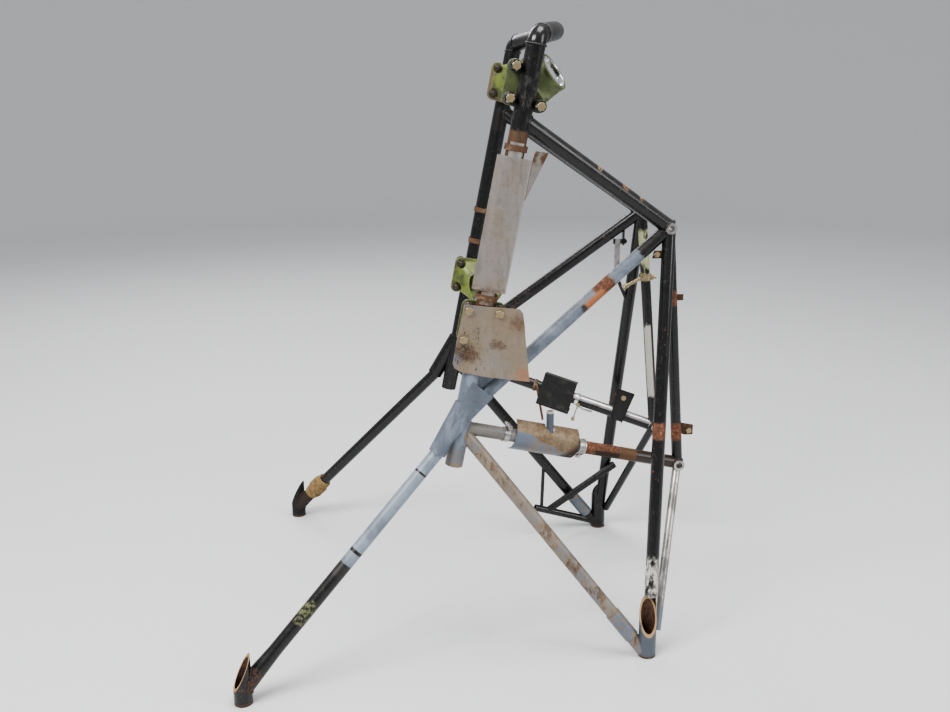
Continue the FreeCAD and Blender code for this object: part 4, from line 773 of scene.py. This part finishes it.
# Fasteners of the brackets, in millimetres
BOLT_PLACES = ((-20.7, 20.4), (-20.7, -20.4), (20.7, -23.4))
BOSS_HALF = 13.6
FLANGE_FACE = 19.6
SHIELD_THICK = 1.0
HEAD_ACROSS = 10.4
HEAD_HEIGHT = 4.5
SHANK_R = 3.1
SHANK_LENGTH = 34
THREAD_R = 3.17
THREAD_LENGTH = 7.5
THREAD_PITCH = 1.0
WASHER_THICK = 1.2
WASHER_PROFILE = [(0, 3.3), (0, 6.2), (0.15, 6.35), (1.05, 6.35), (WASHER_THICK, 6.2),
                  (WASHER_THICK, 3.3)]
NUT_HEIGHT = 5.5
NUT_BORE = 3.25
FASTENER_SHARP = 24
WASHER_FACE = 0.45
BEVEL_SHARE = 0.475
BEVEL_SLOPE = 1.73
HEX_STEPS = 48

# Castings and clamps; profiles and the clamp's radius are in millimetres
VOXEL = 0.8 * MM
SEAT_DROP = 3.6 * MM
SEAT_PROFILE = [(0, 22.6), (0.0, 22.2), (0.5, 21.55), (6.7, 21.55), (7.2, 22.2), (7.2, 22.6)]
CLAMP_R = 9.58
THIN_SHARP = 30


class Form:
    """Points and faces of one piece."""

    def __init__(self):
        self.points = []
        self.faces = []

    def skin(self, rows, joined=False, caps=False):
        """Surface over closed rows that all have the same number of points."""
        base, wide, count = len(self.points), len(rows[0]), len(rows)
        for row in rows:
            self.points += row
        for i in range(count if joined else count - 1):
            here, there = base + i * wide, base + (i + 1) % count * wide
            for j in range(wide):
                k = (j + 1) % wide
                self.faces.append((here + j, here + k, there + k, there + j))
        if caps:
            self.faces.append(tuple(base + j for j in reversed(range(wide))))
            self.faces.append(tuple(base + (count - 1) * wide + j for j in range(wide)))

    def mesh(self, name, material):
        made = bpy.data.meshes.new(name)
        made.from_pydata([point[:] for point in self.points], [], self.faces)
        made.polygons.foreach_set("use_smooth", [True] * len(made.polygons))
        made.materials.append(material)
        return made

    def piece(self, name, material, slot, instead=(), sharp=THIN_SHARP):
        mesh = self.mesh(name, material)
        mesh.set_sharp_from_angle(angle=math.radians(sharp))
        return add_piece(name, mesh, slot, instead)


def new_object(name, data):
    """New object in the scene."""
    made = bpy.data.objects.new(name, data)
    bpy.context.scene.collection.objects.link(made)
    return made


def add_piece(name, mesh, slot, instead=(), body=BODY):
    made = new_object(name, mesh)
    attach(made, body)
    if instead:
        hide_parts(*instead)
    return made


def square_to(axis):
    """Two directions square to an axis."""
    side = axis.orthogonal().normalized()
    return side, axis.normalized().cross(side)


def turns(count):
    """Angles that divide a full turn."""
    return [2 * math.pi * i / count for i in range(count)]


def spoke(pair, angle):
    """Direction at an angle between two directions that are square to each other."""
    return pair[0] * math.cos(angle) + pair[1] * math.sin(angle)


def circle(centre, axis, radius, count=36):
    pair = square_to(axis)
    return [centre + spoke(pair, a) * radius for a in turns(count)]


def cord(form, path, normals, radius, sides=8, joined=False, ripple=NO_RIPPLE):
    """Round strand along a path."""
    swelling, pitch = ripple
    rows, run, count = [], 0.0, len(path)
    for i, point in enumerate(path):
        before = path[i - 1] if joined or i else point
        after = path[(i + 1) % count] if joined or i + 1 < count else point
        tangent = (after - before).normalized()
        run += (point - before).length
        out = (normals[i] - tangent * normals[i].dot(tangent)).normalized()
        pair = (out, tangent.cross(out))
        swell = radius * (1 + swelling * math.cos(2 * math.pi * run / pitch))
        rows.append([point + spoke(pair, a) * swell for a in turns(sides)])
    form.skin(rows, joined, caps=not joined)


def lathe(form, start, axis, profile, count=36, joined=False):
    """Turned surface from (height, radius) pairs in millimetres."""
    axis = axis.normalized()
    rows = [circle(start + axis * (height * MM), axis, radius * MM, count)
            for height, radius in profile]
    form.skin(rows, joined)


def weld(form, path, normals, size):
    """Closed bead along a path."""
    cord(form, path, normals, size * MM, joined=True, ripple=WELD_RIPPLE)


def join_seam(form, origin, toward, radius, host, size=SEAM_SIZE):
    """Weld bead where a tube that comes from a joint meets the tube or bush that it ends on."""
    foot, host_axis, host_radius = host
    toward, host_axis = toward.normalized(), host_axis.normalized()
    run = toward - host_axis * toward.dot(host_axis)
    square = run.dot(run)
    pair = square_to(toward)
    inset = radius * 0.97
    path, normals = [], []
    for a in turns(SEAM_STEPS):
        radial = spoke(pair, a)
        offset = origin + radial * inset - foot
        offset -= host_axis * offset.dot(host_axis)
        double = 2 * offset.dot(run)
        root = max(double ** 2 - 4 * square * (offset.dot(offset) - host_radius ** 2), 0)
        reach = (-double + math.sqrt(root)) / (2 * square)
        path.append(origin + radial * radius + toward * reach)
        normals.append((radial + (offset + run * reach).normalized()).normalized())
    weld(form, path, normals, size)


def ring_seam(form, centre, axis, radius, size=1.5):
    """Weld bead round a butt joint."""
    path = circle(centre, axis, radius, SEAM_STEPS)
    weld(form, path, [point - centre for point in path], size)


def seam_pieces():
    """Beads of every tube, in the finish of the tube."""
    rail = (RAIL_FOOT, RAIL_DIR, RAIL_R)
    upper = (UPPER_PIVOT, Y_AXIS, PIVOT_R)
    lower = (LOWER_PIVOT, Y_AXIS, PIVOT_R)
    leg_host = (UPPER_WALL, Z_AXIS, FITTING_R)
    beams = (("top_diagonal", TOP_JOINT, UPPER_PIVOT, TOP_R, rail, upper),
             ("mid_diagonal", MID_JOINT, UPPER_PIVOT, BRACE_R, rail, upper),
             ("gear_post", POST_FOOT, UPPER_PIVOT, BRACE_R, None, upper),
             ("gear_front_tube", LOWER_PIVOT, UPPER_PIVOT, FRONT_R, lower, upper),
             ("lower_rail", LOWER_JOINT, LOWER_PIVOT, BRACE_R, rail, lower),
             ("gear_rear_tube", REAR_FOOT, LOWER_PIVOT, REAR_R, None, lower),
             ("lower_diagonal", LOWER_WALL, DIAGONAL_JOINT, BRACE_R, None, rail),
             ("upper_leg", LEG_ROOT, LEG_JOINT, LEG_SEAM_R, leg_host, None))
    for label, start, end, radius, first, last in beams:
        for side, hand in HANDS:
            form = Form()
            for point, toward, host in ((start, end, first), (end, start, last)):
                if host:
                    mirrored = (hand(host[0]), hand(host[1]), host[2])
                    join_seam(form, hand(point), hand(toward) - hand(point), radius, mirrored)
            node = "%s_%s" % (label, side)
            form.piece(node + "_seam", finishes[node], slot_names[node], sharp=SEAM_SHARP)
    for side, hand in HANDS:
        form = Form()
        ring_seam(form, hand(RAIL_END), hand(RAIL_DIR), RAIL_R)
        ring_seam(form, hand(BOW_START), hand(BOW_TANGENT), RAIL_R, 1.2)
        wall = (hand(RAIL_FOOT), hand(RAIL_DIR), RAIL_R * 0.985)
        for _, station, up in BRACKETS:
            for x, z in BOLT_PLACES:
                centre = hand(rail_point(station + z * up, x))
                for way in (Y_AXIS, -Y_AXIS):
                    join_seam(form, centre, way, BOSS_R, wall, 1.4)
        node = "bed_rail_" + side
        form.piece(node + "_seams", finishes[node], slot_names[node], sharp=SEAM_SHARP)


def bow_with_elbows():
    """Bow whose tight elbows stand on the rails; its ends carry on the line of the rails below."""
    elbow_steps, half_steps = 16, 24
    path = [RAIL_TOP - RAIL_DIR * (SOLID_SETBACK - WELD_GAP)]
    inward = (BOW_TANGENT - RAIL_DIR * RAIL_DIR.dot(BOW_TANGENT)).normalized()
    centre = RAIL_END + inward * ELBOW_BEND
    for i in range(elbow_steps + 1):
        a = ELBOW_TURN * i / elbow_steps
        path.append(centre + (RAIL_DIR * math.sin(a) - inward * math.cos(a)) * ELBOW_BEND)
    radius = -BOW_START.y / math.sin(BOW_HALF)
    to_centre = Y_AXIS * math.sin(BOW_HALF) - BOW_OUT * math.cos(BOW_HALF)
    hub = BOW_START + to_centre * radius
    for i in range(1, half_steps):
        a = BOW_HALF * i / half_steps
        path.append(hub + (BOW_TANGENT * math.sin(a) - to_centre * math.cos(a)) * radius)
    path.append(hub + BOW_OUT * radius)
    path += [far(point) for point in reversed(path[:-1])]
    form = Form()
    cord(form, path, [RAIL_OUT] * len(path), RAIL_R, 40)
    form.piece("front_bow_bent", finishes["front_bow"], "black_paint", ("front_bow",), 50)


def gusset_web():
    """Sheet that fills the corner between the near rail and the diagonal above the gusset."""
    toward = (UPPER_PIVOT - MID_JOINT).normalized()
    outline = [MID_JOINT, MID_JOINT + toward * (74 * MM), rail_point(150, 4), rail_point(118)]
    half = 1.2 * MM
    form = Form()
    form.skin([[point + Y_AXIS * depth for point in outline] for depth in (-half, half)],
              caps=True)
    form.piece("gusset_web_right", finishes["gusset_right"], "grey_paint")


def hexagon_rows(base, axis, across, heights, turn):
    """Rows of a hexagon bar whose upper end is bevelled by a cone."""
    pair = square_to(axis)
    flat, limit = across / 2, across * BEVEL_SHARE
    top = max(heights)
    rows = []
    for height in heights:
        row = []
        for a in turns(HEX_STEPS):
            corner = (a + math.pi / 6) % (math.pi / 3) - math.pi / 6
            reach = min(flat / math.cos(corner), limit + min(top - height, 2.0) * BEVEL_SLOPE)
            row.append(base + axis * (height * MM) + spoke(pair, a + turn) * (reach * MM))
        rows.append(row)
    return rows


def bolt_head(form, base, axis, across, height, turn):
    """Bevelled head on a washer face."""
    disc = across * 0.46
    lathe(form, base, axis, [(0, disc), (WASHER_FACE, disc), (WASHER_FACE, disc - 1)], HEX_STEPS)
    heights = [0, height - 1.3, height - 1.0, height - 0.7, height - WASHER_FACE]
    rows = hexagon_rows(base + axis * (WASHER_FACE * MM), axis, across, heights, turn)
    form.skin(rows, caps=True)
    dish = [(height - 0.2, 0.62 * disc), (height + 0.05, 0.60 * disc),
            (height - 0.1, 0.48 * disc), (height - 0.1, 0.01)]
    lathe(form, base, axis, dish, HEX_STEPS)


def threaded_end(form, base, axis, radius, length):
    """Bolt's end with the thread cut on it."""
    steps, sides = 5, 24
    pair = square_to(axis)
    rows = []
    for i in range(int(length * steps) + 1):
        height = i / steps
        row = []
        for j, a in enumerate(turns(sides)):
            groove = abs((height / THREAD_PITCH + j / sides) % 1 - 0.5) * 1.1
            reach = min(radius - groove * 0.7, radius - 0.9 + (length - height) * 1.2)
            row.append(base + axis * (height * MM) + spoke(pair, a) * (reach * MM))
        rows.append(row)
    form.skin(rows, caps=True)


def lock_nut(form, base, axis, across, height, bore, turn):
    """Hexagon nut with a round collar."""
    heights = [0, 0.3, height - 2.0, height - 1.4, height - 1.0]
    rows = hexagon_rows(base, axis, across, heights, turn)
    form.skin([circle(base, axis, bore * MM, HEX_STEPS)] + rows)
    collar = [(height - 1.0, across * 0.45), (height - 0.2, across * 0.42),
              (height, across * 0.38), (height, bore), (0, bore)]
    lathe(form, base, axis, collar, HEX_STEPS)


def bracket_fasteners():
    """Bolts, washers and nuts of the brackets; the right aft heads lie on the shield plate."""
    bolts, nuts = Form(), Form()
    for hand, plate in ((Vector, SHIELD_THICK), (far, 0.0)):
        axis = hand(Y_AXIS)
        for level, station, up in BRACKETS:
            under_head = -BOSS_HALF - (plate if level == "aft" else 0.0)
            for x, z in BOLT_PLACES:
                def spot(y):
                    return hand(rail_point(station + z * up, x, y))
                turn = rng.uniform(0, math.pi / 3)
                bolt_head(bolts, spot(under_head), -axis, HEAD_ACROSS, HEAD_HEIGHT, turn)
                shank = [(0, SHANK_R), (SHANK_LENGTH, SHANK_R)]
                lathe(bolts, spot(under_head), axis, shank, 24)
                outer = spot(FLANGE_FACE + WASHER_THICK)
                threaded_end(bolts, outer, axis, THREAD_R, THREAD_LENGTH)
                lathe(nuts, spot(FLANGE_FACE), axis, WASHER_PROFILE, 40, True)
                lock_nut(nuts, outer, axis, HEAD_ACROSS, NUT_HEIGHT, NUT_BORE, rng.uniform(0, 1))
    for form, name, node in ((bolts, "bracket_bolt_set", "bracket_bolts"),
                             (nuts, "bracket_nut_set", "bracket_nuts")):
        form.piece(name, finishes[node], "plated_fastener", (node,), FASTENER_SHARP)


def cast_brackets():
    """Sand-cast skin with soft edges over each bracket, and the machined seat in its ring."""
    for level, station, up in BRACKETS:
        centre, axis = ring_place(station, up)
        for side, hand in HANDS:
            node = "isolator_bracket_%s_%s" % (level, side)
            source = frame["nodes"][node]
            made = add_piece("cast_" + node, source.data.copy(), "chromate_casting", (node,))
            skin = made.modifiers.new("skin", "REMESH")
            skin.mode = "VOXEL"
            skin.voxel_size = VOXEL
            skin.use_smooth_shade = True
            soften = made.modifiers.new("soften", "SMOOTH")
            soften.factor = 0.5
            soften.iterations = 6
            seat = Form()
            start = hand(centre) - hand(axis) * SEAT_DROP
            lathe(seat, start, hand(axis), SEAT_PROFILE, 96, True)
            name = "ring_seat_%s_%s" % (level, side)
            seat.piece(name, finishes["ring_seats"], "chromate_casting")


def lash_foot():
    """Twine wound round the left leg's foot in layers, with two loose tails."""
    start, along = far(LEG_ROOT), (far(LEG_JOINT) - far(LEG_ROOT)).normalized()
    pair = square_to(along)
    form = Form()

    def tube_radius(run):
        return max(9.6, 12.7 - run * 0.05)

    def wind(first, last, pitch, lift, way, phase, thick):
        path, normals = [], []
        rounds = abs(last - first) / pitch
        steps = int(rounds * 26)
        for i in range(steps + 1):
            share = i / steps
            run = first + (last - first) * share + math.sin(share * 23 + phase) * 0.5
            a = phase + way * 2 * math.pi * rounds * share
            wobble = 0.25 * math.sin(a * 1.7 + phase)
            normal = spoke(pair, a)
            reach = tube_radius(run) + lift + wobble
            path.append(start + along * (run * MM) + normal * (reach * MM))
            normals.append(normal)
        cord(form, path, normals, thick * MM, ripple=(0.10, TWINE_PITCH))

    wind(40, 86, 2.9, 1.2, 1, 0.3, 1.3)
    wind(84, 47, 3.4, 3.2, -1, 1.9, 1.3)
    wind(52, 76, 8.5, 5.0, 1, 4.0, 1.2)
    wind(71, 58, 3.0, 5.4, -1, 2.2, 1.2)
    knot = 66
    for phase, length in ((2.6, 24), (3.3, 17)):
        normal = spoke(pair, phase)
        tail = start + along * (knot * MM) + normal * ((tube_radius(knot) + 5.5) * MM)
        path = [tail + (normal * (0.3 * k) - Z_AXIS * (k * k * 0.09) + along * (k * 0.4)) * MM
                for k in range(0, length, 2)]
        cord(form, path, [pair[0]] * len(path), 1.1 * MM, ripple=(0.12, TWINE_PITCH))
    form.piece("foot_lashing_twine", finishes["foot_lashing"], "twine", ("foot_lashing",), 60)


def hoop(form, centre, axis, radius, width, thick):
    """Band with rolled edges round a tube."""
    half = width / 2
    shoulder = radius + thick * 0.8
    profile = [(-half, radius), (-half, shoulder), (-half + 0.3, radius + thick),
               (half - 0.3, radius + thick), (half, shoulder), (half, radius)]
    lathe(form, centre, axis, profile, 64, True)


def block(form, centre, x_axis, y_axis, size, soft):
    """Small block with softened edges; size is along x, along y and square to both."""
    z_axis = x_axis.cross(y_axis)
    wide, deep, high = (value / 2 for value in size)
    rows = []
    for z, pinch in ((-high, soft), (-high + soft, 0), (high - soft, 0), (high, soft)):
        x, y = wide - pinch, deep - pinch
        ring = [(x - soft, -y), (x, -y + soft), (x, y - soft), (x - soft, y),
                (-x + soft, y), (-x, y - soft), (-x, -y + soft), (-x + soft, -y)]
        rows.append([centre + (x_axis * u + y_axis * v + z_axis * z) * MM for u, v in ring])
    form.skin(rows, caps=True)


def rail_clamps():
    """Worm-drive clamp, and the wide bead-lipped clamp at the wrap shield's other end."""
    form = Form()
    centre = lower_point(0.19)
    hoop(form, centre, LOWER_DIR, CLAMP_R, 8.0, 1.2)
    for i in range(13):
        normal = spoke((LOWER_OUT, LOWER_UP), math.radians(25 + i * 10))
        tooth = centre + normal * (10.75 * MM)
        block(form, tooth, LOWER_DIR, normal.cross(LOWER_DIR), (4.6, 0.7, 0.5), 0.15)
    drive = centre + LOWER_UP * (13.9 * MM)
    block(form, drive - LOWER_OUT * MM, LOWER_OUT, LOWER_DIR, (10.5, 7.6, 5.2), 1.2)
    lathe(form, drive - LOWER_OUT * (7.5 * MM), LOWER_OUT,
          [(0, 0.1), (0, 2.7), (0.3, 3.0), (15.0, 3.0), (15.3, 2.7), (15.3, 0.1)], 28)
    bolt_head(form, drive + LOWER_OUT * (7.6 * MM), LOWER_OUT, 6.4, 3.2, 0.4)
    wide = lower_point(0.527)
    hoop(form, wide, LOWER_DIR, CLAMP_R, 11.0, 1.5)
    for shift in (-4.4, 4.4):
        hoop(form, wide + LOWER_DIR * (shift * MM), LOWER_DIR, 9.8, 2.1, 2.6)
    for shift in (-2.6, 2.6):
        ear = wide - LOWER_UP * (13.5 * MM) + LOWER_OUT * (shift * MM)
        block(form, ear, LOWER_DIR, LOWER_UP, (9.0, 6.0, 1.3), 0.4)
    bolt = wide - LOWER_UP * (13.8 * MM) + LOWER_OUT * (3.3 * MM)
    bolt_head(form, bolt, LOWER_OUT, 5.5, 2.6, 0.2)
    node = "lower_rail_clamps"
    form.piece("lower_rail_clamp_set", finishes[node], "bare_steel", (node,))


def far_rail_hardware():
    """Clamp with its bolts and short links on the left lower rail, and a strap hung from it."""
    bright, gold, strap = Form(), Form(), Form()
    axis = far(LOWER_DIR)
    hoop(bright, far(lower_point(0.625)), axis, 9.6, 6.0, 1.1)
    for form, place, across, height, turn in ((bright, at(192, 114, 290), 6.0, 3.2, 0.1),
                                              (gold, at(189.5, 113, 277), 6.6, 3.2, 0.3),
                                              (gold, at(180.7, 112.5, 252), 6.4, 3.0, 0.5)):
        bolt_head(form, place, -Y_AXIS, across, height, turn)
    down = [at(190, 114.5, 275), at(186, 113, 264), at(180.7, 112, 250.5)]
    aside = [at(190, 114.5, 273), at(199, 112, 268), at(213, 111, 264)]
    for path, radius in ((down, 1.5), (aside, 1.8)):
        cord(bright, path, [Y_AXIS] * len(path), radius * MM, 14)
    hoop(strap, far(lower_point(0.415)), axis, 9.6, 5.0, 1.0)
    strap_across = Vector((0.985, 0, 0.17))
    block(strap, at(126, 133.5, 276), strap_across, Y_AXIS, (4.2, 1.4, 66), 0.3)
    bright.piece("far_rail_clamp", finishes["ring_seats"], "bare_steel")
    gold.piece("far_rail_bolts", finishes["link_clamp"], "plated_fastener", sharp=FASTENER_SHARP)
    strap.piece("far_rail_strap", finishes["rail_bands"], "bare_steel")


slot_names = {row["node"]: row["material_slot"] for row in frame["record"]["subparts"]}
seam_pieces()
gusset_web()
bow_with_elbows()
bracket_fasteners()
cast_brackets()
lash_foot()
rail_clamps()
far_rail_hardware()


# Camera, floor and light

def photo_camera():
    """The photographer's standing view of the mount's right side."""
    camera = bpy.data.cameras.new("camera")
    camera.sensor_width = 36
    camera.lens = 38.65
    stand = new_object("camera", camera)
    right = Vector((0.99896310, -0.04457559, -0.00925983))
    forward = Vector((0.04056354, 0.96379624, -0.26353634))
    turn = Matrix((right, right.cross(forward), -forward)).transposed().to_4x4()
    stand.matrix_world = Matrix.Translation(at(-55.4, -1539.8, 818.7)) @ turn
    bpy.context.scene.camera = stand


FLOOR_R = 4.6
FLOOR_HOLE = 0.0005
FLOOR_DROP = 0.0002
COVE_R = 2.2


def studio_floor():
    """Round pale floor whose edge rises in a smooth cove on all sides."""
    form = Form()
    profile = [(FLOOR_HOLE, 0.0), (2.0, 0.0), (FLOOR_R, 0.0)]
    profile += [(FLOOR_R + COVE_R * math.sin(a), COVE_R - COVE_R * math.cos(a))
                for a in (math.pi / 2 * i / 16 for i in range(1, 17))]
    form.skin([[Vector((r * math.cos(a), r * math.sin(a), z - FLOOR_DROP)) for a in turns(96)]
               for r, z in profile])
    form.faces.append(tuple(reversed(range(96))))
    pale = Skin("floor_pale", Coat((0.66, 0.66, 0.665), 0.85)).finish()
    floor = new_object("floor", form.mesh("floor", pale))


def soft_box(name, place, aim, width, height, power):
    light = bpy.data.lights.new(name, "AREA")
    light.shape = "RECTANGLE"
    light.size = width
    light.size_y = height
    light.energy = power
    lamp = new_object(name, light)
    lamp.location = place
    lamp.rotation_euler = (aim - place).to_track_quat("-Z", "Y").to_euler()


def studio_light():
    world = bpy.data.worlds.new("studio")
    world.use_nodes = True
    background = world.node_tree.nodes["Background"]
    background.inputs["Color"].default_value = (0.95, 0.97, 1.0, 1)
    background.inputs["Strength"].default_value = 0.5
    bpy.context.scene.world = world
    middle = at(0, 0, 400)
    soft_box("key_light", at(-1500, -1500, 2500), middle, 1.5, 0.9, 84)
    soft_box("top_light", at(500, -200, 2700), middle, 1.2, 1.2, 40)
    soft_box("side_light", at(2300, -1300, 1500), middle, 0.9, 1.6, 26)
    soft_box("back_light", at(-900, 2300, 2100), middle, 1.4, 0.9, 26)
    bpy.context.scene.view_settings.look = "AgX - Medium High Contrast"


photo_camera()
studio_floor()
studio_light()

bpy.context.view_layer.update()
